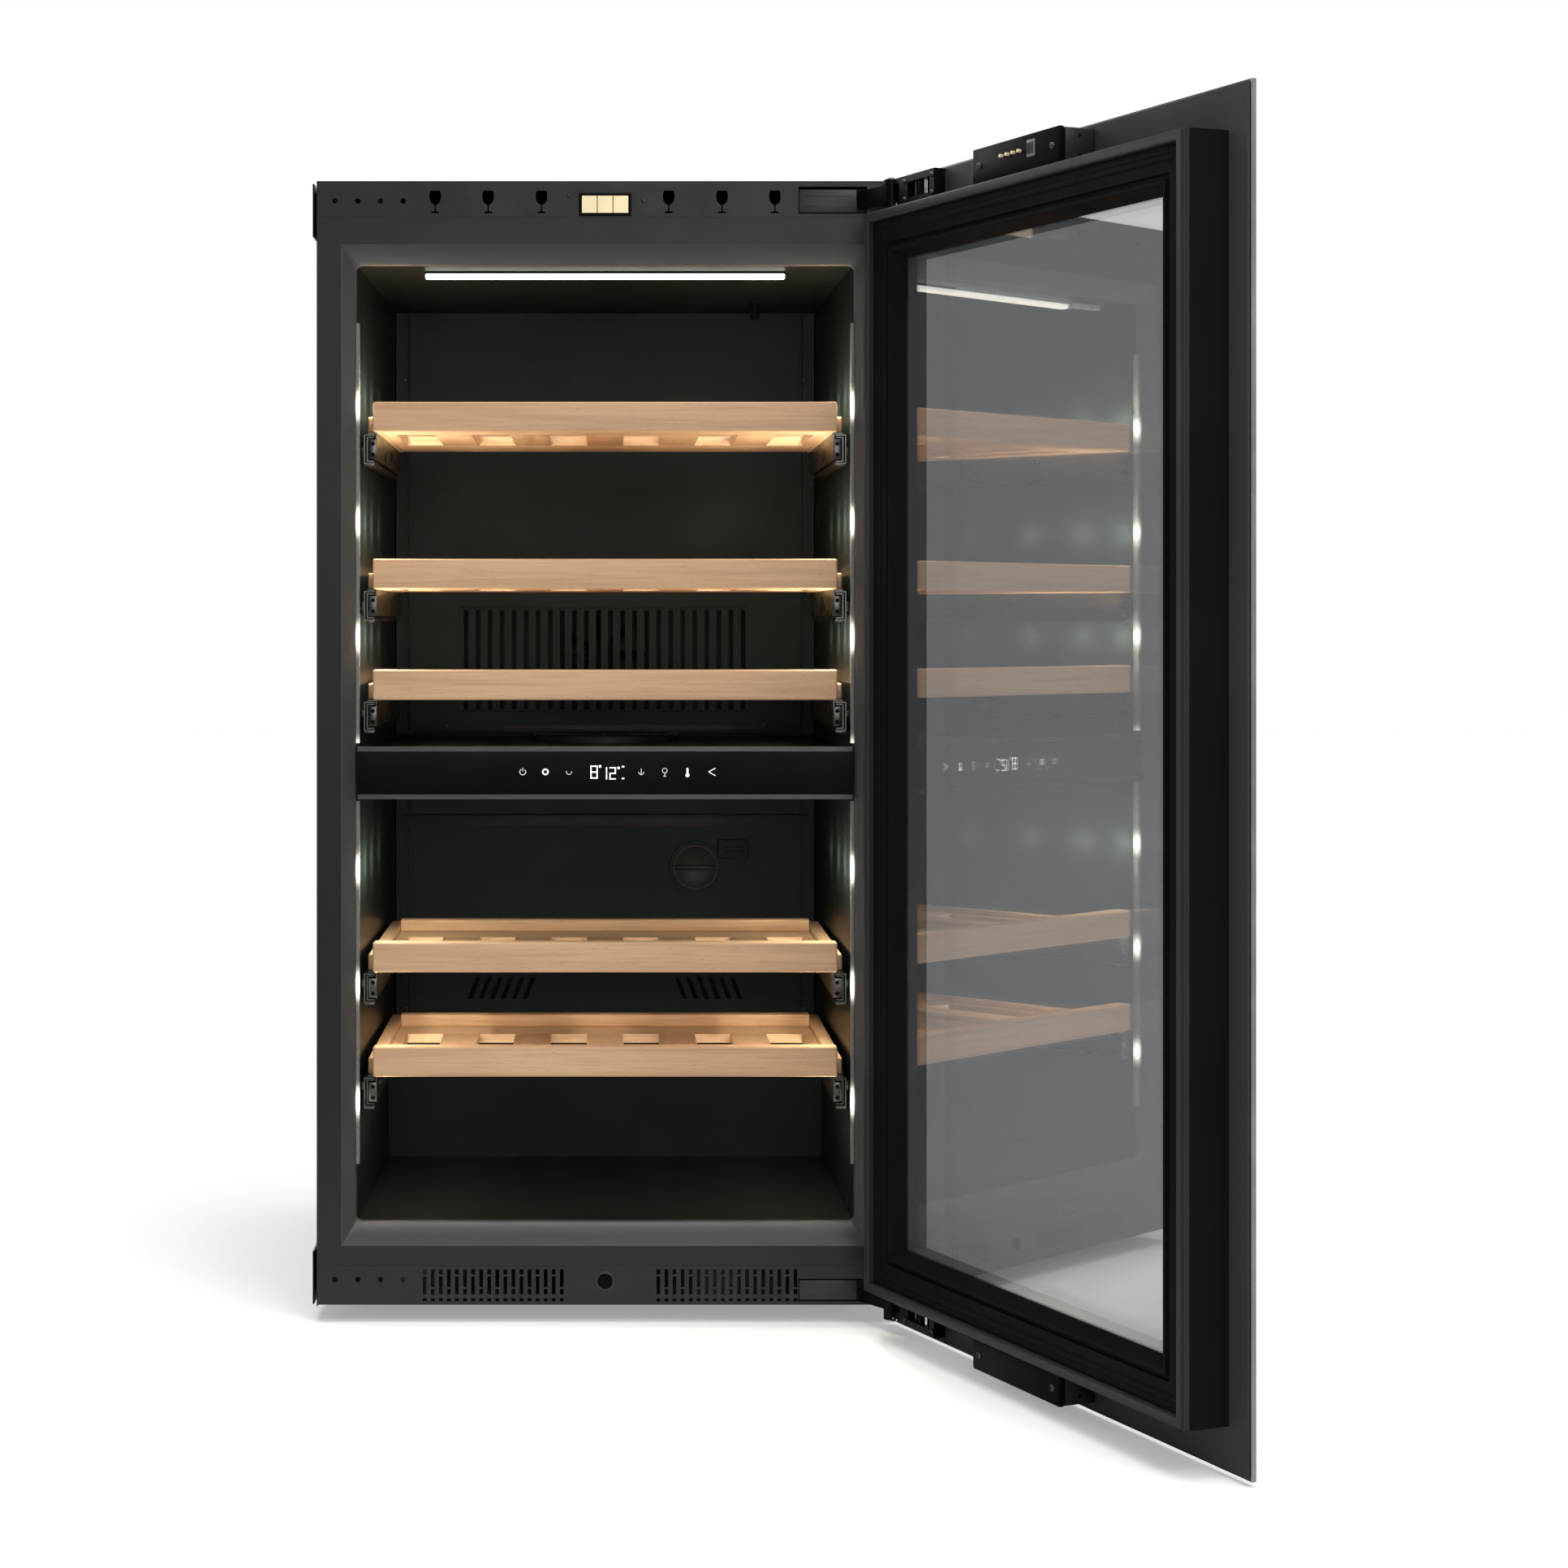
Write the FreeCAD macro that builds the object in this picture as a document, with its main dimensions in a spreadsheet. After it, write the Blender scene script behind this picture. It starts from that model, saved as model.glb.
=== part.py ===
"""Built-in two-zone wine cooler with five sliding shelves and a glass door, standing open.

Millimetres, +Z up. The origin lies on the floor under the middle of the cabinet, and the
door side faces -Y. Positions in the functions below are given from the cabinet's datum,
the middle of its lower front edge: X to the right, Y back into the cabinet, Z up.
Texts such as "case_width/2" are expressions on the spreadsheet's named cells.
"""
import FreeCAD
import Part
import os
import re
from math import cos, pi, radians, sin

import Sketcher
from FreeCAD import Placement, Rotation, Vector

DIMENSIONS = [
    # cabinet
    ("case_width", 522.0, "outside width of the steel casing"),
    ("case_height", 1018.0, "height of the casing without the runners"),
    ("case_depth", 540.0, "front flange to back panel"),
    ("foot_height", 15.0, "height of the glide runners"),
    ("steel", 1.0, "thickness of the casing's sheet"),
    ("flange_side", 22.0, "width of the flat flange beside the opening"),
    ("flange_low", 54.0, "upper edge of the flange under the opening"),
    ("flange_top", 961.0, "lower edge of the flange over the opening"),
    ("top_trim_low", 985.0, "lower edge of the upper trim"),
    ("foot_trim_top", 37.0, "upper edge of the lower trim"),
    ("trim_depth", 28.0, "depth of both trims"),
    ("trim_wall", 3.0, "wall of both trims"),
    ("open_width", 450.0, "inside width of the liner at its front"),
    ("mouth_width", 453.0, "width of the opening in the front frame"),
    ("open_low", 74.0, "lower edge of the opening"),
    ("open_top", 943.0, "upper edge of the opening"),
    ("bevel_depth", 14.0, "depth of the bevel round the opening"),
    ("frame_depth", 20.0, "depth of the frame round the opening"),
    ("liner_wall", 2.5, "wall of the inner liner"),
    ("liner_back", 460.0, "depth of the liner's inside"),
    ("back_width", 438.4, "inside width of the liner at its back"),
    ("step_front", 347.0, "where the step over the compressor begins"),
    ("step_top", 195.0, "height of that step"),
    ("foam_back", 500.0, "depth of the insulation"),
    ("bay_front", 374.0, "front of the compressor bay"),
    ("bay_top", 168.0, "top of the compressor bay"),
    ("cover_depth", 424.0, "front face of the rear covers"),
    ("cover_wall", 2.5, "thickness of the rear covers"),
    # console between the zones
    ("console_low", 462.5, "lower edge of the control glass"),
    ("console_top", 501.5, "upper edge of the control glass"),
    ("console_width", 449.2, "width of the console"),
    ("console_front", 10.0, "front face of the control glass"),
    # shelves and slides
    ("level_a", 792.0, "underside of the first shelf's front bar"),
    ("level_b", 649.0, "underside of the second front bar"),
    ("level_c", 548.0, "underside of the third front bar"),
    ("level_d", 300.0, "underside of the fourth front bar"),
    ("level_e", 205.0, "underside of the fifth front bar"),
    ("bar_width", 423.0, "length of a shelf's front bar"),
    ("bar_height", 27.5, "height of the front bar"),
    ("bar_front", 15.0, "front face of the front bar"),
    ("bar_depth", 18.0, "thickness of the front bar"),
    ("shelf_width", 434.0, "width over the shelf's side bars"),
    ("shelf_back", 340.0, "rear end of the shelf"),
    ("board_height", 9.0, "thickness of the shelf board"),
    ("bottle_pitch", 70.5, "distance between bottle openings"),
    ("gap_width", 35.0, "width of an opening in the board"),
    ("gap_front", 69.0, "front end of the openings"),
    ("gap_back", 233.0, "rear end of the openings"),
    ("slide_drop", 15.2, "slide's middle below the front bar's underside"),
    ("slide_steel", 1.2, "thickness of the slides' steel"),
    ("slide_front", 24.0, "front end of the slides"),
    ("slide_length", 320.0, "length of the slides"),
    # door
    ("door_width", 555.0, "width of the door's outer panel"),
    ("door_low", -11.0, "lower edge of the outer panel"),
    ("door_height", 1027.5, "height of the outer panel"),
    ("glass_front", -48.0, "front face of the outer glass, closed"),
    ("glass_thick", 4.0, "thickness of each pane"),
    ("backing", 2.0, "thickness of the sheet behind the outer glass"),
    ("door_back", -8.0, "rear face of the door's frame, closed"),
    ("rim_width", 503.0, "outside width of the door's frame"),
    ("rim_low", 24.0, "lower edge of the door's frame"),
    ("rim_top", 982.0, "upper edge of the door's frame"),
    ("hinge_x", 256.0, "hinge axis, to the right"),
    ("hinge_y", -32.0, "hinge axis, in front of the flange"),
    ("hinge_pin", 3.0, "radius of the hinge pins"),
    ("door_open", 112.7, "how far the door stands open, degrees"),
]
ALIASES = {alias for alias, _, _ in DIMENSIONS}
LEVELS = ("level_a", "level_b", "level_c", "level_d", "level_e")
WORD = re.compile(r"\b[a-z][a-z_]*\b")
BORE_PLAY = 0.05  # radial clearance of every running fit

doc = FreeCAD.newDocument("wine_cooler")
sheet = doc.addObject("Spreadsheet::Sheet", "dims")
for row, (alias, value, note) in enumerate(DIMENSIONS, start=1):
    sheet.set(f"A{row}", note)
    sheet.set(f"B{row}", str(value))
    sheet.setAlias(f"B{row}", alias)
doc.recompute()

nodes = []  # the finished sub-parts
corners = {}  # where each primitive stands, as texts


# --- helpers ---------------------------------------------------------------------------
def bound(text):
    """The expression with every cell's name pointing at the spreadsheet."""
    return WORD.sub(lambda w: "dims." + w.group() if w.group() in ALIASES else w.group(), str(text))


def bind(obj, prop, text):
    obj.setExpression(prop, bound(text))


def new(kind, name):
    return doc.addObject(kind, name)


def stand(obj, x, y, z):
    """Put an object at x, y, z and remember where it stands."""
    for letter, text in zip("xyz", (x, y, z)):
        bind(obj, "Placement.Base." + letter, text)
    corners[obj.Name] = (str(x), str(y), str(z))
    return obj


def block(name, x, y, z, length, width, height):
    made = new("Part::Box", name)
    for prop, text in zip(("Length", "Width", "Height"), (length, width, height)):
        bind(made, prop, text)
    return stand(made, x, y, z)


def slab(name, width, y, depth, low, top):
    """A block centred on the cabinet's middle plane."""
    return block(name, f"-({width})/2", y, low, width, depth, f"({top}) - ({low})")


def rod(name, x, y, z, radius, length, along="z"):
    """A cylinder that starts at x, y, z and runs along an axis."""
    turns = {
        "x": Rotation(Vector(0, 1, 0), 90),
        "y": Rotation(Vector(1, 0, 0), -90),
        "z": Rotation(),
    }
    made = new("Part::Cylinder", name)
    bind(made, "Radius", radius)
    bind(made, "Height", length)
    made.Placement = Placement(Vector(), turns[along])
    return stand(made, x, y, z)


def funnel(name, front, back, front_size, back_size):
    """A rectangular funnel along Y; each size is (half width, low, top)."""
    made = new("Part::Wedge", name)
    bind(made, "Ymin", front)
    bind(made, "Ymax", back)
    for prop, (half, low, top) in (("", front_size), ("2", back_size)):
        bind(made, f"X{prop}min", f"-({half})")
        bind(made, f"X{prop}max", half)
        bind(made, f"Z{prop}min", low)
        bind(made, f"Z{prop}max", top)
    return made


def join(name, shapes):
    made = new("Part::MultiFuse", name)
    made.Shapes = shapes
    made.Refine = True
    return made


def cut(name, base, tools):
    made = new("Part::Cut", name)
    made.Base = base
    made.Tool = tools[0] if len(tools) == 1 else join(name + "_tools", tools)
    return made


def together(name, shapes):
    """Separate solids that share one node."""
    made = new("Part::Compound", name)
    made.Links = shapes
    return made


def sketch_on(body, role, loops=(), circles=()):
    """A sketch of closed outlines and circles whose every point is bound to the sheet."""
    sketch = body.newObject("Sketcher::SketchObject", body.Name + "_sketch")
    plane = next(f for f in body.Origin.OriginFeatures if f.Role == role)
    sketch.AttachmentSupport = [(plane, "")]
    sketch.MapMode = "FlatFace"

    def fix(kind, *of, text):
        index = sketch.addConstraint(Sketcher.Constraint(kind, *of, 1.0))
        bind(sketch, f"Constraints[{index}]", text)

    for loop in loops:
        first, count = sketch.GeometryCount, len(loop)
        rough = [Vector(50 * cos(2 * pi * k / count), 50 * sin(2 * pi * k / count), 0) for k in range(count)]
        for k in range(count):
            sketch.addGeometry(Part.LineSegment(rough[k], rough[(k + 1) % count]))
        for k in range(count):
            after = first + (k + 1) % count
            sketch.addConstraint(Sketcher.Constraint("Coincident", first + k, 2, after, 1))
        for k, (x, y) in enumerate(loop):
            fix("DistanceX", -1, 1, first + k, 1, text=x)
            fix("DistanceY", -1, 1, first + k, 1, text=y)
    for x, y, radius in circles:
        drawn = sketch.addGeometry(Part.Circle(Vector(1, 1, 0), Vector(0, 0, 1), 2))
        fix("DistanceX", -1, 1, drawn, 3, text=x)
        fix("DistanceY", -1, 1, drawn, 3, text=y)
        fix("Radius", drawn, text=radius)
    return sketch


def prism(name, role, loops, length, x=0, y=0, z=0, circles=()):
    """A padded sketch. It grows along +Z from XY_Plane, +Y from XZ_Plane and +X from YZ_Plane."""
    body = new("PartDesign::Body", name)
    pad = body.newObject("PartDesign::Pad", name + "_pad")
    sketch = sketch_on(body, role, loops, circles)
    pad.Profile = sketch
    bind(pad, "Length", length)
    pad.Reversed = role == "XZ_Plane"
    body.Tip = pad
    return stand(body, x, y, z)


def turned(name, outline, x, y, z):
    """A revolved sketch: an outline of (radius, height) turned about a vertical axis."""
    body = new("PartDesign::Body", name)
    sketch = sketch_on(body, "XZ_Plane", [outline])
    revolution = body.newObject("PartDesign::Revolution", name + "_turn")
    revolution.Profile = sketch
    revolution.ReferenceAxis = (sketch, ["V_Axis"])
    revolution.Angle = 360
    body.Tip = revolution
    return stand(body, x, y, z)


def node(label, obj, swings=False):
    """Finish a sub-part: move it from the datum to the row frame, and swing door parts open."""
    x, y, z = corners.get(obj.Name, ("0", "0", "0"))
    if swings:
        out, back = f"(({x}) - hinge_x)", f"(({y}) - hinge_y)"
        x = f"hinge_x + {out}*cos(door_open) - {back}*sin(door_open)"
        y = f"hinge_y + {out}*sin(door_open) + {back}*cos(door_open)"
        bind(obj, "Placement.Rotation.Angle", "door_open")
    bind(obj, "Placement.Base.x", x)
    bind(obj, "Placement.Base.y", f"({y}) - case_depth/2")
    bind(obj, "Placement.Base.z", f"({z}) + foot_height")
    obj.Label = label
    nodes.append(obj)


# --- cabinet shell ---------------------------------------------------------------------
def casing():
    inside = "case_width - 2*steel"
    shell = cut(
        "casing",
        slab("casing_outer", "case_width", 0, "case_depth - steel", 0, "case_height"),
        [
            slab("casing_inner", inside, "steel", "case_depth", -1, "case_height - steel"),
            slab("casing_door_hole", "case_width - 2*flange_side", -1, 4, "flange_low", "flange_top"),
            slab("casing_top_gap", inside, -1, 4, "top_trim_low", "case_height - steel"),
            slab("casing_foot_gap", inside, -1, 4, -1, "foot_trim_top"),
        ],
    )
    node("outer_casing", shell)
    node("base_plate", slab("plate", inside, "trim_depth", "case_depth - trim_depth - steel", 0, "steel"))


INLET_X, INLET_Z, INLET_WIDTH, INLET_HEIGHT = 40, 44, 48, 28


def back_panel():
    sheet_metal = slab("panel", "case_width", "case_depth - steel", "steel", 0, "case_height")
    vents = [
        block(f"panel_vent_{side}_{row}", x, "case_depth - 3", 40 + 10 * row, 120, 6, 4)
        for side, x in enumerate((-220, 110))
        for row in range(10)
    ]
    inlet = block("panel_inlet", INLET_X, "case_depth - 3", INLET_Z, INLET_WIDTH, 6, INLET_HEIGHT)
    node("back_panel", cut("panel_cut", sheet_metal, [*vents, inlet]))


def liner_block(name, wall, low, top, back, step_y, step_z):
    """The liner's outside or inside: a box that narrows towards its back, less the step."""
    half_front = f"open_width/2 + {wall}"
    half_back = f"back_width/2 + {wall}"
    outline = [
        (f"-({half_front})", "frame_depth"),
        (half_front, "frame_depth"),
        (half_back, back),
        (f"-({half_back})", back),
    ]
    whole = prism(name, "XY_Plane", [outline], f"({top}) - ({low})", z=low)
    step = slab(name + "_step", 600, step_y, 200, 0, step_z)
    return cut(name + "_stepped", whole, [step])


def liner_and_foam():
    wall = "liner_wall"
    outside = liner_block(
        "liner_outside", wall, "open_low - liner_wall", "open_top + liner_wall",
        "liner_back + liner_wall", "step_front + liner_wall", "step_top - liner_wall",
    )
    inside = liner_block("liner_inside", 0, "open_low", "open_top", "liner_back", "step_front", "step_top")
    node("inner_liner", cut("liner", outside, [inside]))
    foam = cut(
        "foam",
        slab("foam_block", "case_width - 2*steel - 1", 1.2, "foam_back - 1.2", "foot_trim_top + 1", 984),
        [
            slab("foam_frame_hole", "case_width - 2*flange_side + 1", 1, "frame_depth - 1", 53.5, 962.5),
            slab("foam_bay", "case_width", "bay_front", 200, 0, "bay_top"),
            outside,
        ],
    )
    node("insulation", foam)


def front_frame():
    """The frame round the opening, bevelled towards it."""
    outer = slab("rim", "case_width - 2*flange_side", 0, "frame_depth", "flange_low", "flange_top")
    bevel = funnel(
        "rim_bevel", 0, "bevel_depth",
        ("case_width/2 - flange_side - 1", "flange_low + 1", "flange_top - 1"),
        ("mouth_width/2", "open_low", "open_top"),
    )
    throat = slab("rim_throat", "mouth_width", "bevel_depth - 0.5", 20, "open_low", "open_top")
    node("front_frame", cut("rim_cut", outer, [bevel, throat]))


def hollow_trim(name, low, top):
    """A trim strip: a moulding with a front wall, open at its back."""
    width = "case_width - 2*steel - 0.4"
    outer = slab(name, width, 0, "trim_depth", low, top)
    hollow = slab(
        name + "_hollow", f"{width} - 2*trim_wall", "trim_wall", "trim_depth",
        f"{low} + trim_wall", f"{top} - trim_wall",
    )
    return outer, hollow


SPARE_HOLES = (-244.4, -223.8, -203.2, -182.7)  # for the hinge when the door hangs on the left
HINGE_RECESS = (175, 62)  # left edge and width of the hinge recess in each trim
WINE_GLASS = [  # half outline of a vent shaped like a glass: foot, stem and bowl
    (3.8, 0), (3.8, 1.1), (0.6, 1.9), (0.6, 7.4), (2.9, 8.6), (4.6, 11), (5.3, 14), (5.2, 17), (4.3, 20.5),
]


def top_trim():
    outer, hollow = hollow_trim("top_bar", "top_trim_low + 0.2", "case_height - steel - 0.2")
    glass = WINE_GLASS + [(-x, z) for x, z in reversed(WINE_GLASS)]
    vents = [
        prism(f"glass_vent_{k}", "XZ_Plane", [glass], "trim_wall + 1", x, -0.5, 989)
        for k, x in enumerate((-153.7, -105.8, -57.5, 57.5, 105.8, 153.7))
    ]
    holes = [rod(f"top_hole_{k}", x, -1, 1000, 2.5, 6, "y") for k, x in enumerate(SPARE_HOLES)]
    window = slab("contact_window", 47.4, -1, 6, 986.6, 1007)
    recess = block("top_recess", HINGE_RECESS[0], -1, 988.5, HINGE_RECESS[1], 6, 24.5)
    node("top_trim", cut("top_trim_cut", outer, [hollow, *vents, *holes, window, recess]))


PUSHER_Z, PUSHER_RADIUS = 22.4, 6.2
GRILLE_STARTS = (-165, 46.5)
GRILLE_PITCH, SLOT_PITCH, SLOT_WIDTH, PAIRS = 14.6, 7.3, 3.4, 9
SLOT_PARTS = [((10.6, 26.9), (28.6, 33.2)), ((10.6, 15.4), (17.1, 33.2))]  # low and top of each stretch


def bottom_trim():
    """The lower trim: two air grilles of paired slots, each slot bridged once, and the pusher's sleeve."""
    outer, hollow = hollow_trim("foot_bar", "steel + 0.2", "foot_trim_top - 0.2")
    slots = []
    for side, start in enumerate(GRILLE_STARTS):
        for pair in range(PAIRS):
            for column, stretches in enumerate(SLOT_PARTS):
                x = start + GRILLE_PITCH * pair + SLOT_PITCH * column
                name = f"slot_{side}_{pair}_{column}"
                for k, (low, top) in enumerate(stretches + ((4.2, 7.0),)):
                    slots.append(block(f"{name}_{k}", x, -1, low, SLOT_WIDTH, 6, top - low))
    holes = [rod(f"foot_hole_{k}", x, -1, 24, 2.5, 6, "y") for k, x in enumerate(SPARE_HOLES)]
    recess = block("foot_recess", HINGE_RECESS[0], -1, 4.2, HINGE_RECESS[1], 6, 20.5)
    shell = cut("foot_shell", outer, [hollow, *slots, *holes, recess])
    sleeve = rod("sleeve", 0, 0.5, PUSHER_Z, PUSHER_RADIUS + 3, 23, "y")
    bore = rod("sleeve_bore", 0, -1, PUSHER_Z, PUSHER_RADIUS + BORE_PLAY, 40, "y")
    node("bottom_trim", cut("foot_trim", join("foot_with_sleeve", [shell, sleeve]), [bore]))
    node("door_pusher", rod("pusher", 0, -0.5, PUSHER_Z, PUSHER_RADIUS, 27, "y"))


def contacts():
    """The block that feeds the door's contact pins."""
    node("contact_block", slab("contact_body", 47, -2, 4.8, 986.8, 1006.8))
    pads = [
        block(f"pad_{k}", centre - 6.7, -2.5, 989, 13.4, 0.5, 15.4)
        for k, centre in enumerate((-14.2, 0, 14.2))
    ]
    node("contact_pads", together("pads", pads))


def base():
    runners = [
        prism(
            f"runner_{k}", "YZ_Plane",
            [[(75, 0), (75, "6 - foot_height"), (84, "-foot_height"), (491, "-foot_height"),
              (500, "6 - foot_height"), (500, 0)]],
            30, x,
        )
        for k, x in enumerate((-235, -15, 205))
    ]
    node("glide_runners", together("runners", runners))


BRACKET_HOLES = (20, 45)
BRACKET_LEVELS = (1, 968)
BRACKET_HEIGHT = 48


def niche_brackets():
    """Four joggled steel brackets; each outer leg takes two screws into the niche's side."""
    made = []
    for side in (-1, 1):
        for level in BRACKET_LEVELS:
            name = f"bracket_{'left' if side < 0 else 'right'}_{level}"
            outline = [
                (side * 261.0, 60), (side * 261.0, 96), (side * 262.5, 96), (side * 262.5, 61.5),
                (side * 265.0, 61.5), (side * 265.0, 4), (side * 263.5, 4), (side * 263.5, 60),
            ]
            plate = prism(name, "XY_Plane", [outline], BRACKET_HEIGHT, z=level)
            middle = level + BRACKET_HEIGHT / 2
            start = 262 if side > 0 else -267
            holes = [rod(f"{name}_hole_{y}", start, y, middle, 2.5, 5, "x") for y in BRACKET_HOLES]
            made.append(cut(name + "_drilled", plate, holes))
    node("niche_brackets", together("brackets", made))


# --- inside the cabinet ----------------------------------------------------------------
def rear_covers():
    """Panels at the back of each zone, with air slots, over the evaporators and fans."""
    plate = slab("upper_plate", 437, "cover_depth", "cover_wall", 503, 942.5)
    ledge = slab("upper_ledge", 398, "cover_depth - 3", 3.5, 503, 513)
    slots = [
        block(f"upper_slot_{k}", -148 + 12.6 * k, "cover_depth - 5", 528, 5, 10, 104) for k in range(24)
    ]
    node("rear_cover_upper", cut("upper_cover", join("upper_solid", [plate, ledge]), slots))

    plate = slab("lower_plate", 437, "cover_depth", "cover_wall", 195.5, 461.5)
    beam = slab("lower_beam", 423, "cover_depth - 5", 5.5, 406, 418)
    slants = [
        prism(
            f"slant_{side}_{k}", "XZ_Plane",
            [[(0, 0), (5, 0), (-side * 9 + 5, 23), (-side * 9, 23)]],
            10, side * (84 + 11.5 * k) - 2.5, "cover_depth - 5", 225,
        )
        for side in (-1, 1)
        for k in range(6)
    ]
    window = rod("filter_window", FILTER_X, "cover_depth - 5", FILTER_Z, 24, 10, "y")
    node("rear_cover_lower", cut("lower_cover", join("lower_solid", [plate, beam]), [*slants, window]))


FILTER_X, FILTER_Z = 94.7, 363


def small_fittings():
    """Charcoal filter, temperature sensors and lights."""
    parts = [
        rod("filter_rim", FILTER_X, "cover_depth - 5", FILTER_Z, 27, 5, "y"),
        rod("filter_core", FILTER_X, "cover_depth - 1", FILTER_Z, 23.5, 14, "y"),
        block("filter_grip", FILTER_X - 20, "cover_depth - 9", FILTER_Z - 2, 40, 5, 4),
    ]
    node("charcoal_filter", join("filter", parts))
    sensors = [rod(f"sensor_{k}", 152, 330, top - 17, 4.5, 16.9, "z") for k, top in enumerate((943, 464))]
    node("temperature_sensors", together("sensors", sensors))
    node("ceiling_light", slab("light_bar", 334, 58, 12, 936.5, 943))
    strips = [
        block(f"strip_{side}_{k}", 223.6 if side > 0 else -226.4, 14.2, low, 2.8, 5.6, top - low)
        for side in (-1, 1)
        for k, (low, top) in enumerate(((126, 456), (509, 891)))
    ]
    node("side_lights", together("strips", strips))


def divider_and_console():
    """The insulated floor between the zones, and the control panel in front of it."""
    outline = [(-224.3, 50.2), (224.3, 50.2), (219.3, "cover_depth - 0.2"), (-219.3, "cover_depth - 0.2")]
    floor = prism("divider", "XY_Plane", [outline], 36, z=464)
    dome = rod("fan_cover", 0, 325, 499, 75, 5.5)
    node("zone_divider", join("divider_with_cover", [floor, dome]))
    box = slab("console_box", "console_width", "console_front + 3", 37, "console_low", "console_top")
    hollow = slab("console_hollow", "console_width - 6", "console_front", 38, 465.5, 498.5)
    node("console_housing", cut("console", box, [hollow]))
    node("console_glass", slab("glass_bar", "console_width", "console_front", 3, "console_low", "console_top"))
    board = slab("board", 230, 20, 1.6, 470, 494)
    display = block("display", -16, "console_front + 3.1", 474, 38, 7.5, 17)
    node("display_module", join("display_unit", [board, display]))
    trims = [
        slab(f"console_trim_{low}", "console_width", 8, 6, low, top)
        for low, top in ((501.6, 506), (458.2, 462.4))
    ]
    node("console_trims", together("trims", trims))


# --- shelves ---------------------------------------------------------------------------
def channel(name, side, level, web_out, lip_in, half_height, length, front):
    """One member of a slide: a U of sheet steel that is open towards the cabinet's middle."""
    middle = f"({level} - slide_drop)"
    steel = "slide_steel"
    outline = [
        (web_out, -half_height), (web_out, half_height), (lip_in, half_height),
        (lip_in, f"{half_height} - {steel}"), (f"{web_out} - {steel}", f"{half_height} - {steel}"),
        (f"{web_out} - {steel}", f"{steel} - {half_height}"), (lip_in, f"{steel} - {half_height}"),
        (lip_in, -half_height),
    ]
    outline = [(f"{side}*({x})", z) for x, z in outline]
    return prism(name, "XZ_Plane", [outline], length, 0, front, middle)


def carrier(name, side, level):
    """The moving member under a shelf: a U open outwards, with a flange that carries the side bar."""
    outline = [
        (208.4, -9), (215.6, -9), (215.6, -7.8), (209.6, -7.8), (209.6, 7.8), (215.6, 7.8),
        (215.6, 9), (209.6, 9), (209.6, 13.9), (217, 13.9), (217, 15.1), (208.4, 15.1),
    ]
    outline = [(side * x, z) for x, z in outline]
    return prism(name, "XZ_Plane", [outline], "slide_length - 10", 0, "slide_front + 2", f"{level} - slide_drop")


def wall_channel(side, level):
    """The fixed member with the two spacers that hold it off the liner's wall."""
    name = f"channel_{level[-1]}_{'left' if side < 0 else 'right'}"
    parts = [channel(name, side, level, 220.2, 210.2, 13.5, "slide_length", "slide_front")]
    for y, reach in ((60, 4.2), (315, 0.85)):
        x = 220.1 if side > 0 else -220.1 - reach
        parts.append(rod(f"{name}_spacer_{y}", x, y, f"{level} - slide_drop", 5, reach, "x"))
    return join(name + "_fixed", parts)


def front_bar(name, level):
    """The beech bar at the shelf's front, with eased edges."""
    ease = 2
    back, top, low = "bar_depth", "bar_height", 0
    outline = [
        (ease, low), (back, low), (back, top), (ease, top), (0, f"{top} - {ease}"), (0, ease),
    ]
    return prism(name, "YZ_Plane", [outline], "bar_width", "-bar_width/2", "bar_front", level)


def rack(name, level):
    """The beech pieces behind the bar: two rails joined by slats, side bars and the bottle stop."""
    low, half = f"{level} + 0.6", "(shelf_width/2 - 12.5)"
    front = "bar_front + bar_depth"
    pieces = [
        slab(name + "_front_rail", f"2*{half}", front, f"gap_front - ({front})", low, f"{low} + board_height"),
        slab(name + "_rear_rail", f"2*{half}", "gap_back", "shelf_back - gap_back", low, f"{low} + board_height"),
        slab(name + "_stop", f"2*{half}", 286, 18, f"{low} + board_height", f"{level} + 21.5"),
    ]
    for k in range(7):
        left = f"-{half}" if k == 0 else f"bottle_pitch*{k - 3.5} + gap_width/2"
        right = half if k == 6 else f"bottle_pitch*{k - 2.5} - gap_width/2"
        length = f"{right} - ({left})"
        slat = block(f"{name}_slat_{k}", left, "gap_front", low, length, "gap_back - gap_front", "board_height")
        pieces.append(slat)
    for k, x in enumerate(("-shelf_width/2", half)):
        pieces.append(block(f"{name}_side_{k}", x, front, level, 12.5, f"shelf_back - ({front})", 15))
    return pieces


def shelves():
    node("slide_channels", together("channels", [wall_channel(s, lv) for lv in LEVELS for s in (-1, 1)]))
    for number, level in enumerate(LEVELS, start=1):
        name = f"shelf_{number}"
        node(name, together(name + "_wood", [front_bar(name + "_bar", level), *rack(name, level)]))
        middles = [
            channel(f"middle_{number}_{k}", s, level, 217.8, 211.0, 11.5, "slide_length - 20", "slide_front + 2")
            for k, s in enumerate((-1, 1))
        ]
        node(f"slide_middle_{number}", together(f"middles_{number}", middles))
        carriers = [carrier(f"carrier_{number}_{k}", s, level) for k, s in enumerate((-1, 1))]
        node(f"slide_carrier_{number}", together(f"carriers_{number}", carriers))


# --- refrigeration ---------------------------------------------------------------------
FANS = [  # name, centre, axis, half size, depth, blades
    ("condenser", (140, 445, 74), "x", 60, 25, 7),
    ("upper", (0, 429, 585), "y", 46, 18, 7),
    ("lower", (-95, 429, 320), "y", 46, 18, 7),
]
AXIS_TURN = {"x": Rotation(Vector(0, 1, 0), 90), "y": Rotation(Vector(1, 0, 0), -90)}


def ahead(point, axis, step):
    """A point moved along an axis."""
    x, y, z = point
    return (x + step, y, z) if axis == "x" else (x, y + step, z)


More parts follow.
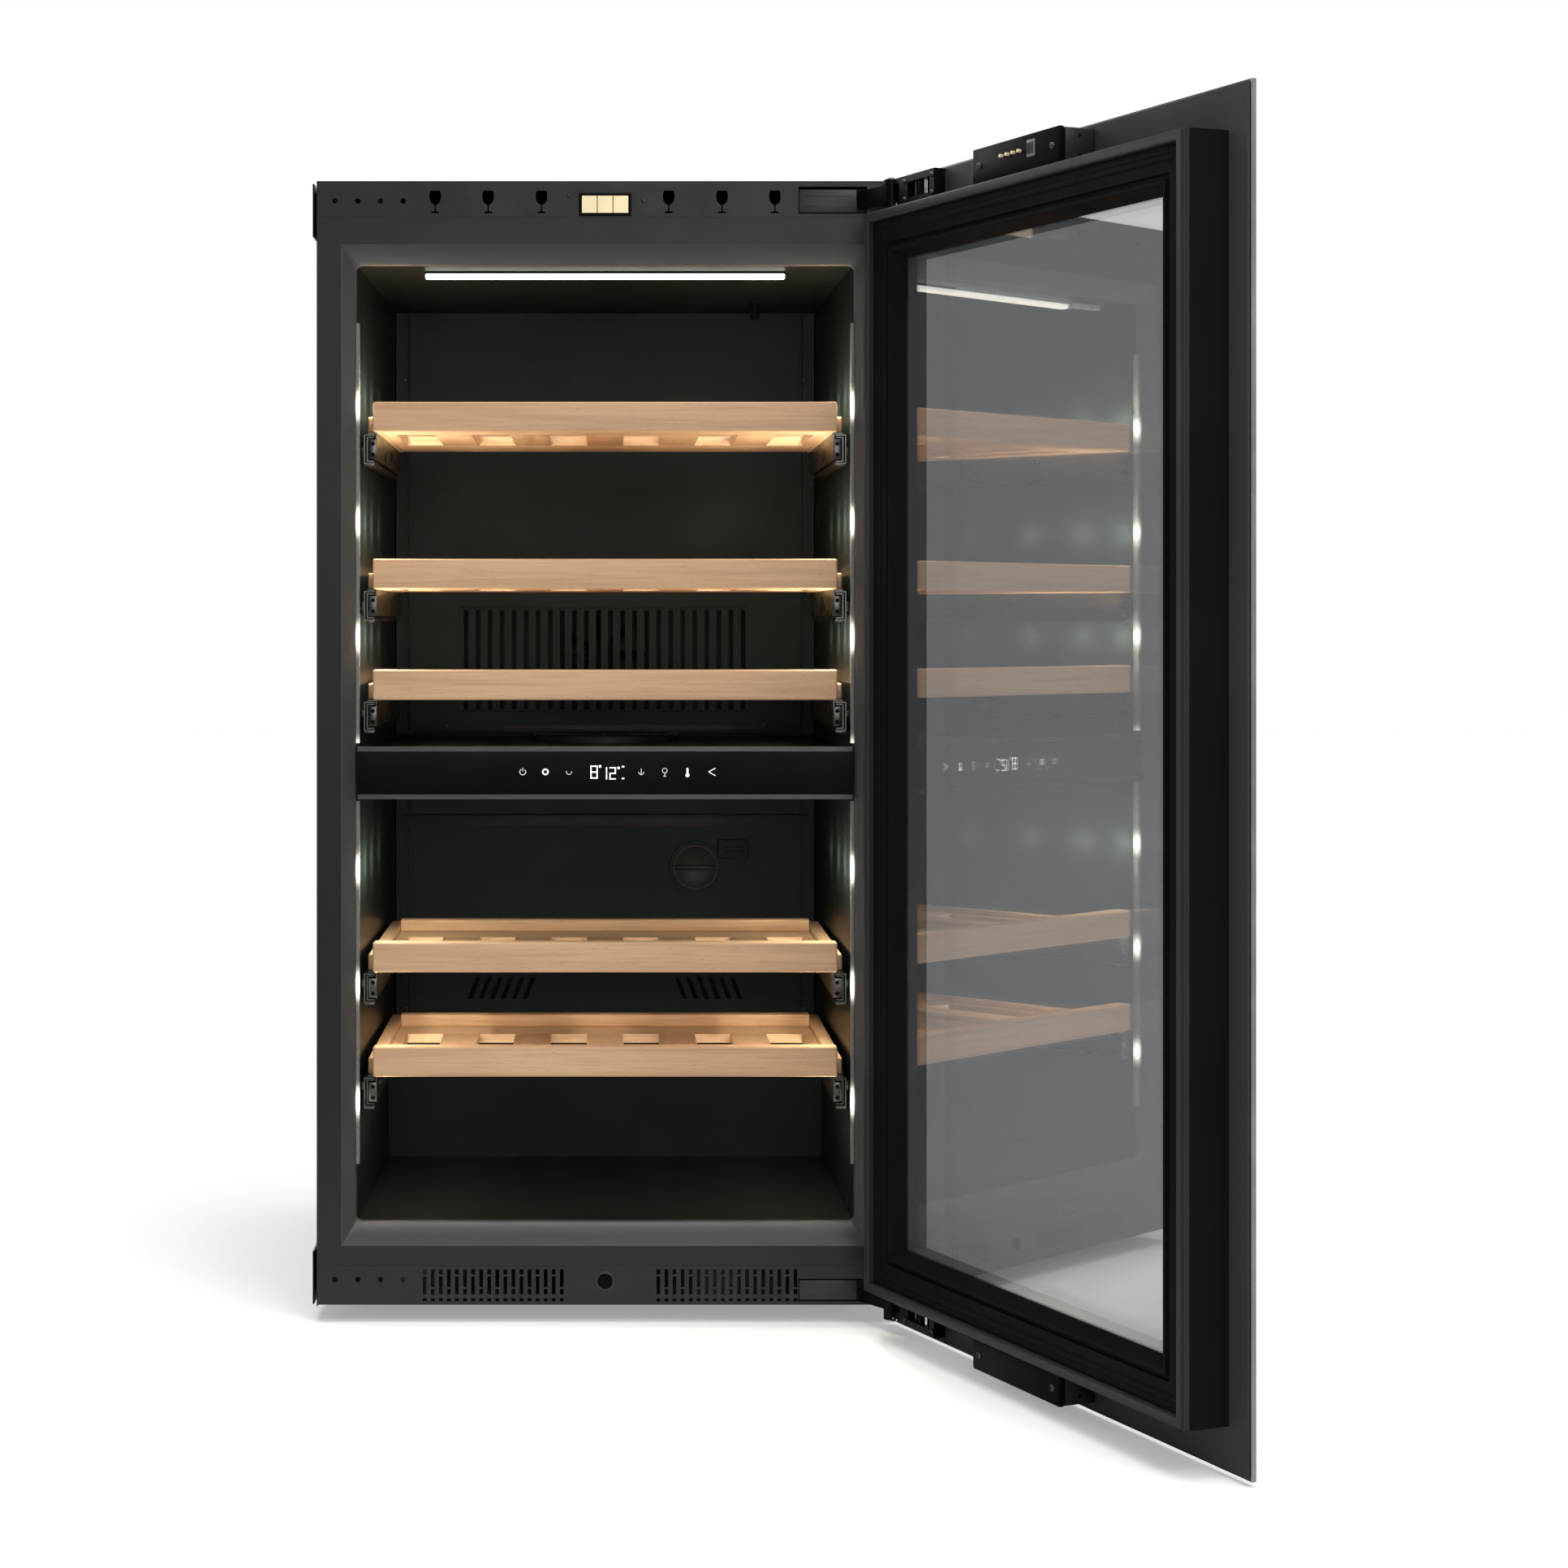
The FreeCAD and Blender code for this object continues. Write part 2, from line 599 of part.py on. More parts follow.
def fan_housing(name, centre, axis, half, depth):
    """A square frame with a round mouth, and three arms that hold the motor."""
    x, y, z = centre
    size = (depth, 2 * half, 2 * half) if axis == "x" else (2 * half, depth, 2 * half)
    start = (x, y - half, z - half) if axis == "x" else (x - half, y, z - half)
    frame = block(name + "_frame", *start, *size)
    mouth = rod(name + "_mouth", *ahead(centre, axis, -1), half - 3, depth + 2, axis)
    ring = cut(name + "_ring", frame, [mouth])
    back = ahead(centre, axis, depth - 4)
    motor = rod(name + "_motor", *back, half * 0.34, 4, axis)
    bar = (4, half * 2 - 2, 5) if axis == "x" else (half * 2 - 2, 4, 5)
    bx, by, bz = back
    arm_at = (bx, by - half + 1, bz - 2.5) if axis == "x" else (bx - half + 1, by, bz - 2.5)
    upright = (4, 5, half * 2 - 2) if axis == "x" else (5, 4, half * 2 - 2)
    up_at = (bx, by - 2.5, bz - half + 1) if axis == "x" else (bx - 2.5, by, bz - half + 1)
    arms = [block(name + "_arm", *arm_at, *bar), block(name + "_upright", *up_at, *upright)]
    spindle = rod(name + "_spindle", *ahead(centre, axis, 3), 1.5, depth - 5, axis)
    return join(name + "_housing", [ring, motor, *arms, spindle])


def fan_rotor(name, centre, axis, half, depth, blades):
    """A hub with pitched blades that turns on the housing's spindle."""
    reach, hub = half - 5, half * 0.34
    height = depth - 8
    hub_body = rod(name + "_hub", *ahead(centre, axis, 2), hub, height, axis)
    parts = [hub_body]
    middle = Vector(*ahead(centre, axis, 2 + height / 2))
    for k in range(blades):
        blade = new("Part::Box", f"{name}_blade_{k}")
        bind(blade, "Length", reach - hub + 2)
        bind(blade, "Width", height - 1)
        bind(blade, "Height", 1.2)
        spin = Rotation(Vector(0, 0, 1), 360 * k / blades)
        pitch = Rotation(Vector(1, 0, 0), 35)
        offset = Placement(Vector(hub - 2, 0, 0), pitch) * Placement(Vector(0, -(height - 1) / 2, -0.6), Rotation())
        blade.Placement = Placement(middle, AXIS_TURN[axis]) * Placement(Vector(), spin) * offset
        parts.append(blade)
    bore = rod(name + "_bore", *ahead(centre, axis, -2), 1.5 + BORE_PLAY, depth + 4, axis)
    return cut(name + "_rotor", join(name + "_wheel", parts), [bore])


def cooling():
    """Compressor, condenser and fan in the bay; an evaporator and fan behind each rear cover."""
    outline = [
        (0, 0), (58, 0), (66, 14), (66, 92), (58, 114), (32, 126), (0, 128),
    ]
    pot = turned("pot", outline, -120, 445, 14)
    feet = block("pot_feet", -200, 405, "steel", 160, 80, 14)
    node("compressor", join("compressor_unit", [pot, feet]))

    fins = [block(f"fin_{k}", 178 + 4 * k, 385, 14, 0.8, 120, 122) for k in range(15)]
    tubes = [rod(f"tube_{k}", 174, 405 + 26 * (k % 4), 34 + 40 * (k // 4), 4, 66, "x") for k in range(12)]
    node("condenser", join("condenser_block", [*fins, *tubes]))

    housings = []
    for name, centre, axis, half, depth, blades in FANS:
        housings.append(fan_housing(name, centre, axis, half, depth))
        node(f"fan_rotor_{name}", fan_rotor(name, centre, axis, half, depth, blades))
    node("fan_housings", together("housings", housings))

    plates = []
    for k, (half, low, top) in enumerate(((180, 660, 925), (190, 388, 452))):
        plate = slab(f"evaporator_{k}", 2 * half, 449, 3, low, top)
        runs = int((top - low) // 22)
        pipes = [
            rod(f"pipe_{k}_{n}", -half + 10, 450.5, low + 14 + 22 * n, 3.5, 2 * half - 20, "x")
            for n in range(runs)
        ]
        plates.append(join(f"evaporator_unit_{k}", [plate, *pipes]))
    node("evaporators", together("evaporator_pair", plates))
    node("control_box", block("electronics", -200, 380, 984, 140, 100, 27))

    back, depth = "case_depth - 26", 26
    shell = block("inlet_shell", INLET_X + 0.2, back, INLET_Z + 0.2, INLET_WIDTH - 0.4, depth, INLET_HEIGHT - 0.4)
    socket = block("inlet_socket", INLET_X + 12, "case_depth - 20", INLET_Z + 5.5, 24, 21, 17)
    pins = [
        block(f"inlet_pin_{k}", INLET_X + x, "case_depth - 21", INLET_Z + z, 2, 16, 4)
        for k, (x, z) in enumerate(((16, 10), (30, 10), (23, 14)))
    ]
    node("power_inlet", join("inlet", [cut("inlet_cut", shell, [socket]), *pins]))


# --- door ------------------------------------------------------------------------------
PANEL_BACK = "(glass_front + glass_thick + backing)"
PANE_BACK = -22  # rear face of the inner pane, closed
ARM = [  # outline of a hinge arm, from the plate in the trim's recess to the pin
    (176, 8), (176, 1), (228, 1), (230, -1), (249.5, -31.5), (261, -28), (236, -1), (236, 8),
]
KNUCKLE = 7
HINGES = [  # name; plate low and top; arm low and top; leaf low and top; pin low and top
    ("top", 989.5, 1010.5, 993, 1009, 988, 1014, 986, 1016),
    ("bottom", 5.5, 23.5, 4.6, 15, -4, 20, -6, 22),
]


def hinges():
    """An arm on the cabinet, a leaf on the door and a pin, above and below."""
    arms, leaves, pins = [], [], []
    play = f"hinge_pin + {BORE_PLAY}"
    for name, plate_low, plate_top, arm_low, arm_top, low, top, pin_low, pin_top in HINGES:
        plate = block(f"{name}_plate", 175.6, 1, plate_low, 60.6, 7, plate_top - plate_low)
        arm = prism(f"{name}_arm", "XY_Plane", [ARM], arm_top - arm_low, z=arm_low)
        barrel = rod(f"{name}_barrel", "hinge_x", "hinge_y", arm_low, KNUCKLE, arm_top - arm_low)
        bore = rod(f"{name}_bore", "hinge_x", "hinge_y", low - 5, play, top - low + 10)
        arms.append(cut(f"{name}_arm_bored", join(f"{name}_arm_solid", [plate, arm, barrel]), [bore]))

        leaf = block(f"{name}_leaf", 176, PANEL_BACK, low, 64, 11, top - low)
        recess = block(f"{name}_leaf_recess", 184, f"{PANEL_BACK} + 3", low + 6, 40, 9, top - low - 12)
        link = rod(f"{name}_link_pin", 207, f"{PANEL_BACK} + 7", low + 4, 2.2, top - low - 8)
        parts = [cut(f"{name}_leaf_cut", leaf, [recess]), link]
        for k, (ear_low, ear_top) in enumerate(((low, arm_low - 0.5), (arm_top + 0.5, top))):
            height = ear_top - ear_low
            parts.append(block(f"{name}_ear_{k}", 238, f"{PANEL_BACK} + 1", ear_low, 18, 10, height))
            parts.append(rod(f"{name}_knuckle_{k}", "hinge_x", "hinge_y", ear_low, KNUCKLE, height))
        ear_bore = rod(f"{name}_ear_bore", "hinge_x", "hinge_y", low - 5, play, top - low + 10)
        leaves.append(cut(f"{name}_leaf_bored", join(f"{name}_leaf_solid", parts), [ear_bore]))
        pins.append(rod(f"{name}_pin", "hinge_x", "hinge_y", pin_low, "hinge_pin", pin_top - pin_low))
    node("hinge_arms", together("arms", arms))
    node("hinge_pins", together("pins", pins))
    node("hinge_leaves", together("leaves", leaves), swings=True)


def ring(name, inset, width, front, depth):
    """A rectangular ring inside the door frame's outline, from front to front + depth."""
    outer = slab(
        name + "_out", f"rim_width - 2*{inset}", front, depth, f"rim_low + {inset}", f"rim_top - {inset}",
    )
    far = inset + width
    inner = slab(
        name + "_in", f"rim_width - 2*{far}", f"{front} - 1", f"{depth} + 2",
        f"rim_low + {far}", f"rim_top - {far}",
    )
    return cut(name, outer, [inner])


def door_rim():
    """The frame behind the glass: flat at its back, sloping in to the inner pane, with a backing sheet."""
    outer = slab("rim_outer", "rim_width", PANEL_BACK, f"door_back - {PANEL_BACK}", "rim_low", "rim_top")
    sheet_behind = slab(
        "rim_sheet", "door_width - 4", f"{PANEL_BACK} - backing", "backing",
        "door_low + 2", "door_low + door_height - 2",
    )

    def opening(inset):
        return (f"rim_width/2 - {inset}", f"rim_low + {inset}", f"rim_top - {inset}")

    pocket = slab(
        "rim_pocket", "rim_width - 76", "glass_front", f"{PANE_BACK} - glass_front",
        "rim_low + 38", "rim_top - 38",
    )
    lip = funnel("rim_lip", PANE_BACK - 0.5, PANE_BACK + 8, opening(43), opening(39))
    mouth = funnel("rim_mouth", PANE_BACK + 8, "door_back", opening(39), opening(35))
    beyond = slab("rim_beyond", "rim_width - 70", "door_back", 2, "rim_low + 35", "rim_top - 35")
    groove = ring("rim_groove", 11, 4, "door_back - 4", 5)
    solid = join("rim_solid", [outer, sheet_behind])
    node("door_frame", cut("rim_shape", solid, [pocket, lip, mouth, beyond, groove]), swings=True)


def door():
    glass = slab(
        "outer_glass", "door_width - 2.4", "glass_front", "glass_thick",
        "door_low", "door_low + door_height",
    )
    node("door_glass", glass, swings=True)
    edges = [
        block(f"edge_{k}", x, "glass_front", "door_low", 1.2, "glass_thick", "door_height")
        for k, x in enumerate(("-door_width/2", "door_width/2 - 1.2"))
    ]
    node("door_edge_trims", together("edges", edges), swings=True)
    door_rim()
    pane = slab(
        "pane", "rim_width - 77", f"{PANE_BACK} - glass_thick", "glass_thick",
        "rim_low + 38.5", "rim_top - 38.5",
    )
    node("door_inner_pane", pane, swings=True)
    gap = f"{PANE_BACK} - glass_thick - glass_front - glass_thick"
    node("glass_spacer", ring("spacer", 39, 5, "glass_front + glass_thick", gap), swings=True)
    seal = join(
        "seal",
        [
            ring("seal_base", 0.4, 19.6, "door_back", 1.5),
            ring("seal_balloon", 0.4, 8.4, "door_back + 1", 6),
            ring("seal_root", 11, 4, "door_back - 4", 4.5),
        ],
    )
    node("door_gasket", seal, swings=True)

    top_box = slab("module_top", 137, PANEL_BACK, 34, 982.3, 1012)
    bores = [rod(f"pin_bore_{k}", x, -18, 1000, 1.45, 13, "y") for k, x in enumerate(CONTACT_PINS)]
    top_module = cut("module_top_bored", top_box, bores)
    bottom_module = slab("module_bottom", 137, PANEL_BACK, 34, -3, 23.7)
    node("door_modules", together("modules", [top_module, bottom_module]), swings=True)
    pins = [rod(f"contact_pin_{k}", x, -15.8, 1000, 1.4, 11, "y") for k, x in enumerate(CONTACT_PINS)]
    node("contact_pins", together("pin_set", pins), swings=True)


CONTACT_PINS = (19, 9.5, 0, -9.5)

casing()
back_panel()
liner_and_foam()
front_frame()
top_trim()
bottom_trim()
contacts()
base()
niche_brackets()
rear_covers()
small_fittings()
divider_and_console()
shelves()
cooling()
hinges()
door()
doc.recompute()

# --- checks and export -----------------------------------------------------------------
faults = [o.Name for o in doc.Objects if {"Invalid", "Error"} & set(o.State)]
faults += [o.Label for o in nodes if o.Shape.isNull() or not o.Shape.isValid()]
if faults:
    raise RuntimeError("these objects failed: " + ", ".join(faults))
os.makedirs("parts", exist_ok=True)
for obj in nodes:
    obj.Shape.exportStep(os.path.join("parts", obj.Label + ".step"))
    print(f"{obj.Label}: {len(obj.Shape.Solids)} solids, {obj.Shape.Volume / 1000:.1f} cm3")
print(len(nodes), "nodes")
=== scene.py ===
"""Looks of the built-in wine cooler: materials, finer pieces, lamps, camera and studio."""
import bpy
import bmesh
from math import cos, pi, radians, sin
from mathutils import Matrix, Vector


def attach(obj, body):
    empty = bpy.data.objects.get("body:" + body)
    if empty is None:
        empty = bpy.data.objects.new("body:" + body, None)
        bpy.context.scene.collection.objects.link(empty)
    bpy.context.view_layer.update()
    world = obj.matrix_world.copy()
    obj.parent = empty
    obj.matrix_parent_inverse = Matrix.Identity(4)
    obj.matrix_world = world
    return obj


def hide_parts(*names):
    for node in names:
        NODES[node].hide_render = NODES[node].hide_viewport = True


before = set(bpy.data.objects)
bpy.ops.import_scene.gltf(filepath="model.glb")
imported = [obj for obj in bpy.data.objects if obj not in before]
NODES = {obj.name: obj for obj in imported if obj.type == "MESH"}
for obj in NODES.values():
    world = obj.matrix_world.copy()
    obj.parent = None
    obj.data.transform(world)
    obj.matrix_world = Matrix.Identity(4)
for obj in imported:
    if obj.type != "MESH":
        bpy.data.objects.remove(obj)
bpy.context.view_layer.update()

# --- frame of reference -----------------------------------------------------------------------
# Positions are written in millimetres from the middle of the cabinet's lower front edge.
HALF_DEPTH, FOOT = 270.0, 15.0
HINGE = Vector((0.256, -0.302, 0.0))
OPEN_ANGLE = radians(112.7)
DOOR_SPIN = Matrix.Rotation(OPEN_ANGLE, 4, "Z")
DOOR_TURN = Matrix.Translation(HINGE) @ DOOR_SPIN @ Matrix.Translation(-HINGE)
LEVELS = (792.0, 649.0, 548.0, 300.0, 205.0)  # undersides of the shelves' front bars
SLIDE_DROP = 15.2  # from a front bar's underside down to the middle of its slides


def at(x, y, z):
    """A point given in millimetres from the cabinet's datum, in the row frame in metres."""
    return Vector((x / 1000, (y - HALF_DEPTH) / 1000, (z + FOOT) / 1000))


# --- materials --------------------------------------------------------------------------------
class Shader:
    """A node material: a principled shader and helpers that feed it."""

    def __init__(self, name, rough=0.5, metal=0.0, spec=0.5, coat=0.0, coat_rough=0.1, ior=1.5):
        self.material = bpy.data.materials.new(name)
        self.material.use_nodes = True
        self.tree = self.material.node_tree
        self.out = self.tree.nodes["Material Output"]
        self.bsdf = self.tree.nodes["Principled BSDF"]
        self.set("Roughness", rough)
        self.set("Metallic", metal)
        self.set("Specular IOR Level", spec)
        self.set("Coat Weight", coat)
        self.set("Coat Roughness", coat_rough)
        self.set("IOR", ior)
        self.coords = self.tree.nodes.new("ShaderNodeTexCoord").outputs["Object"]

    def set(self, socket, value):
        self.bsdf.inputs[socket].default_value = value

    def add(self, kind, **settings):
        made = self.tree.nodes.new(kind)
        for key, value in settings.items():
            setattr(made, key, value)
        return made

    def link(self, a, b):
        self.tree.links.new(a, b)

    def stretch(self, scale):
        made = self.add("ShaderNodeMapping")
        made.inputs["Scale"].default_value = scale
        self.link(self.coords, made.inputs["Vector"])
        return made.outputs["Vector"]

    def noise(self, scale, detail=4, rough=0.5, vector=None, distortion=0.0):
        made = self.add("ShaderNodeTexNoise")
        made.inputs["Scale"].default_value = scale
        made.inputs["Detail"].default_value = detail
        made.inputs["Roughness"].default_value = rough
        made.inputs["Distortion"].default_value = distortion
        self.link(vector or self.coords, made.inputs["Vector"])
        return made.outputs["Fac"]

    def ramp(self, source, stops):
        made = self.add("ShaderNodeValToRGB")
        band = made.color_ramp
        while len(band.elements) < len(stops):
            band.elements.new(0.5)
        for element, (place, colour) in zip(band.elements, stops):
            element.position = place
            element.color = (*colour, 1) if len(colour) == 3 else colour
        self.link(source, made.inputs["Fac"])
        return made.outputs["Color"]

    def levels(self, source, low, high, start=0.3, end=0.7):
        made = self.add("ShaderNodeMapRange")
        made.inputs["From Min"].default_value = start
        made.inputs["From Max"].default_value = end
        made.inputs["To Min"].default_value = low
        made.inputs["To Max"].default_value = high
        self.link(source, made.inputs["Value"])
        return made.outputs["Result"]

    def math(self, operation, a, b=0.0):
        made = self.add("ShaderNodeMath", operation=operation)
        for socket, value in zip(made.inputs, (a, b)):
            if isinstance(value, (int, float)):
                socket.default_value = value
            else:
                self.link(value, socket)
        return made.outputs[0]

    def mix(self, factor, a, b, blend="MIX"):
        made = self.add("ShaderNodeMix", data_type="RGBA", blend_type=blend)
        inputs = made.inputs  # 0 is the factor; 6 and 7 are the colours A and B
        for socket, value in ((inputs[0], factor), (inputs[6], a), (inputs[7], b)):
            if isinstance(value, (int, float)):
                socket.default_value = value
            elif isinstance(value, tuple):
                socket.default_value = (*value, 1)
            else:
                self.link(value, socket)
        return made.outputs[2]  # the colour result

    def colour(self, socket):
        self.link(socket, self.bsdf.inputs["Base Color"])

    def roughness(self, socket):
        self.link(socket, self.bsdf.inputs["Roughness"])

    def bump(self, *layers):
        """Each layer is (height, strength, distance in metres)."""
        normal = None
        for height, strength, distance in layers:
            made = self.add("ShaderNodeBump")
            made.inputs["Strength"].default_value = strength
            made.inputs["Distance"].default_value = distance
            self.link(height, made.inputs["Height"])
            if normal is not None:
                self.link(normal, made.inputs["Normal"])
            normal = made.outputs["Normal"]
        self.link(normal, self.bsdf.inputs["Normal"])
        if self.bsdf.inputs["Coat Weight"].default_value > 0:
            self.link(normal, self.bsdf.inputs["Coat Normal"])


def shade(colour, factor):
    return tuple(min(1.0, c * factor) for c in colour)


def plastic(name, colour, rough=0.45, grain=900, depth=0.12, spec=0.5, spread=0.12, smudges=0.16):
    """Moulded plastic: fine grain, slow colour drift and smudges in its gloss."""
    s = Shader(name, rough, spec=spec)
    drift = s.noise(9, 3)
    s.colour(s.ramp(drift, [(0.3, shade(colour, 1 - spread)), (0.7, shade(colour, 1 + spread))]))
    smudge = s.noise(26, 5, 0.62)
    s.roughness(s.levels(smudge, rough * (1 - smudges), min(1.0, rough * (1 + smudges))))
    s.bump((s.noise(grain, 2, 0.6), depth, 0.0004))
    return s.material


def metal(name, colour, rough=0.3, brushed=(1, 1, 1), fine=700, depth=0.08, spread=0.1,
          metallic=1.0):
    """Metal with a brushed or rolled grain along the axis that has the smallest scale."""
    s = Shader(name, rough, metallic)
    lines = s.noise(fine, 3, 0.6, s.stretch(brushed))
    cloud = s.noise(18, 4, 0.6)
    tone = s.mix(0.5, lines, cloud)
    s.colour(s.ramp(tone, [(0.35, shade(colour, 1 - spread)), (0.65, shade(colour, 1 + spread))]))
    s.roughness(s.levels(cloud, rough * 0.75, min(1.0, rough * 1.35)))
    s.bump((lines, depth, 0.0003))
    return s.material


def paint(name, colour, rough=0.42, peel=0.1):
    """Powder coat on sheet steel: a soft orange-peel surface."""
    s = Shader(name, rough, spec=0.45)
    drift = s.noise(5, 3)
    s.colour(s.ramp(drift, [(0.3, shade(colour, 0.95)), (0.7, shade(colour, 1.05))]))
    s.roughness(s.levels(s.noise(30, 5, 0.6), rough * 0.96, rough * 1.05))
    s.bump((s.noise(420, 3, 0.5), peel, 0.0003), (s.noise(60, 2), 0.04, 0.001))
    return s.material


def beech(name, along, light=(0.675, 0.43, 0.248), dark=(0.535, 0.325, 0.18), end_grain=False):
    """Lacquered beech: fine straight grain, the short flecks of beech, and board-to-board tone."""
    s = Shader(name, 0.42, spec=0.4, coat=0.08, coat_rough=0.3)
    axis = "xyz".index(along)
    long_way, fleck_way = [1.0, 1.0, 1.0], [1.0, 1.0, 1.0]
    if not end_grain:
        long_way[axis], fleck_way[axis] = 0.035, 0.2
    vector = s.stretch(long_way)
    bands = s.noise(70, 4, 0.5, vector, 0.4)
    fibres = s.noise(520, 4, 0.6, vector)
    fleck = s.add("ShaderNodeTexVoronoi", feature="F1")
    fleck.inputs["Scale"].default_value = 420
    s.link(s.stretch(fleck_way), fleck.inputs["Vector"])
    spots = s.levels(fleck.outputs["Distance"], 1.0, 0.0, 0.10, 0.24)
    spots = s.math("MULTIPLY", spots, s.levels(s.noise(40, 3), 0.0, 0.8, 0.42, 0.62))
    board = s.noise(2.6, 2)
    tone = s.ramp(bands, [(0.34, dark), (0.5, shade(light, 0.93)), (0.64, light)])
    tone = s.mix(s.levels(fibres, 0.0, 0.5, 0.45, 0.72), tone, shade(dark, 0.82))
    tone = s.mix(s.math("MULTIPLY", spots, 0.5), tone, shade(dark, 0.6))
    tone = s.mix(s.levels(board, 0.0, 0.25, 0.35, 0.65), tone, (0.86, 0.70, 0.58), "MULTIPLY")
    s.colour(tone)
    s.roughness(s.levels(bands, 0.36, 0.52))
    s.bump((fibres, 0.12, 0.0003), (spots, -0.08, 0.0003))
    return s.material


def glowing(name, colour, strength, rough=0.35):
    """A lit diffuser with a slight mottle."""
    s = Shader(name, rough)
    mottle = s.noise(240, 3)
    s.colour(s.ramp(mottle, [(0.3, (0.80, 0.81, 0.80)), (0.7, (0.9, 0.9, 0.89))]))
    s.set("Emission Color", (*colour, 1))
    s.set("Emission Strength", strength)
    s.bump((mottle, 0.05, 0.0003))
    return s.material


def pane(name, colour, ior=1.5, rough=0.0):
    """Flat glass with the slightest roll wave."""
    s = Shader(name, rough, ior=ior)
    s.set("Transmission Weight", 1.0)
    drift = s.noise(2.5, 2)
    s.colour(s.ramp(drift, [(0.3, shade(colour, 0.97)), (0.7, colour)]))
    s.bump((s.noise(3, 1), 0.012, 0.001))
    return s.material


M = {  # every material by its key
    "casing": paint("casing_paint", (0.0100, 0.0103, 0.0109), 0.42),
    "galvanised": metal("galvanised_sheet", (0.42, 0.43, 0.44), 0.38, (1, 1, 1), 60, 0.05, 0.11),
    "foam": plastic("rigid_foam", (0.75, 0.62, 0.34), 0.8, 500, 0.5),
    "liner": plastic("liner_plastic", (0.0062, 0.0080, 0.0072), 0.38, 1400, 0.08, 0.2, 0.08, 0.04),
    "cover": plastic("cover_plastic", (0.0102, 0.0138, 0.0128), 0.5, 900, 0.3, 0.25, 0.12, 0.04),
    "rim": plastic("rim_plastic", (0.050, 0.0515, 0.0535), 0.36, 1200, 0.08, 0.5),
    "trim": plastic("trim_plastic", (0.0118, 0.0122, 0.0128), 0.42, 1100, 0.1, 0.42),
    "plate": plastic("hinge_plate", (0.023, 0.0235, 0.0245), 0.4, 900, 0.1, 0.45),
    "black": plastic("black_plastic", (0.0040, 0.0040, 0.0042), 0.4, 1200, 0.08, 0.03),
    "door_black": plastic("door_plastic", (0.0075, 0.0075, 0.0078), 0.5, 1300, 0.05, 0.02),
    "runner": plastic("runner_plastic", (0.03, 0.03, 0.03), 0.6, 600, 0.2),
    "rubber": plastic("gasket_rubber", (0.029, 0.0295, 0.0305), 0.4, 1500, 0.08, 0.14),
    "gold": metal("contact_gold", (0.92, 0.78, 0.47), 0.34, (1, 1, 0.06), 900, 0.06, 0.06, 0.25),
    "zinc": metal("zinc_slide", (0.15, 0.15, 0.137), 0.3, (1, 0.04, 1), 800, 0.1, 0.25),
    "steel": metal("polished_steel", (0.68, 0.68, 0.69), 0.18, (1, 1, 1), 500, 0.05, 0.12),
    "dark_steel": metal("dark_steel", (0.10, 0.10, 0.10), 0.34, (1, 1, 1), 500, 0.05, 0.2, 0.8),
    "black_steel": plastic("black_steel", (0.0034, 0.0034, 0.0036), 0.34, 700, 0.1, 0.08, 0.2),
    "aluminium": metal("brushed_aluminium", (0.13, 0.13, 0.13), 0.36, (0.03, 1, 1), 900, 0.1, 0.14),
    "edge": metal("edge_aluminium", (0.40, 0.40, 0.40), 0.4, (1, 1, 0.03), 900, 0.1, 0.12, 0.6),
    "fin": metal("fin_aluminium", (0.70, 0.71, 0.72), 0.4, (1, 1, 1), 300, 0.1, 0.15),
    "enamel": paint("compressor_enamel", (0.008, 0.008, 0.008), 0.25, 0.14),
    "console": plastic("console_glass", (0.0018, 0.0018, 0.0020), 0.08, 300, 0.004, 0.45, 0.1),
    "print": plastic("glass_print", (0.046, 0.047, 0.049), 0.55, 1500, 0.05, 0.1, 0.05),
    "front_glass": plastic("black_glass", (0.0022, 0.0022, 0.0024), 0.05, 200, 0.003, 0.5, 0.1),
    "board": plastic("circuit_board", (0.01, 0.05, 0.03), 0.4, 200, 0.2),
    "spacer": metal("spacer_aluminium", (0.42, 0.42, 0.43), 0.5, (1, 1, 1), 300, 0.05, 0.06, 0.3),
    "grey": plastic("grey_plastic", (0.16, 0.16, 0.17), 0.4, 900, 0.1, 0.45),
    "lamp": glowing("ceiling_lamp", (1.0, 0.97, 0.88), 1.5),
    "icon": glowing("icon_white", (0.85, 0.9, 1.0), 1.5),
    "icon_dim": glowing("icon_dim", (0.75, 0.8, 0.9), 0.30),
    "tinted": pane("tinted_glass", (0.225, 0.23, 0.24), 1.52),
    "coated": pane("coated_glass", (0.93, 0.95, 0.94), 2.1),
    "wood_x": beech("beech_along_x", "x"),
    "wood_y": beech("beech_along_y", "y", (0.64, 0.405, 0.23), (0.51, 0.31, 0.168)),
    "wood_end": beech("beech_end", "z", (0.595, 0.375, 0.21), (0.465, 0.275, 0.146), True),
}


SPOT_TOP, SPOT_STEP = 816, 105.5  # highest spot of the strips and the distance between two


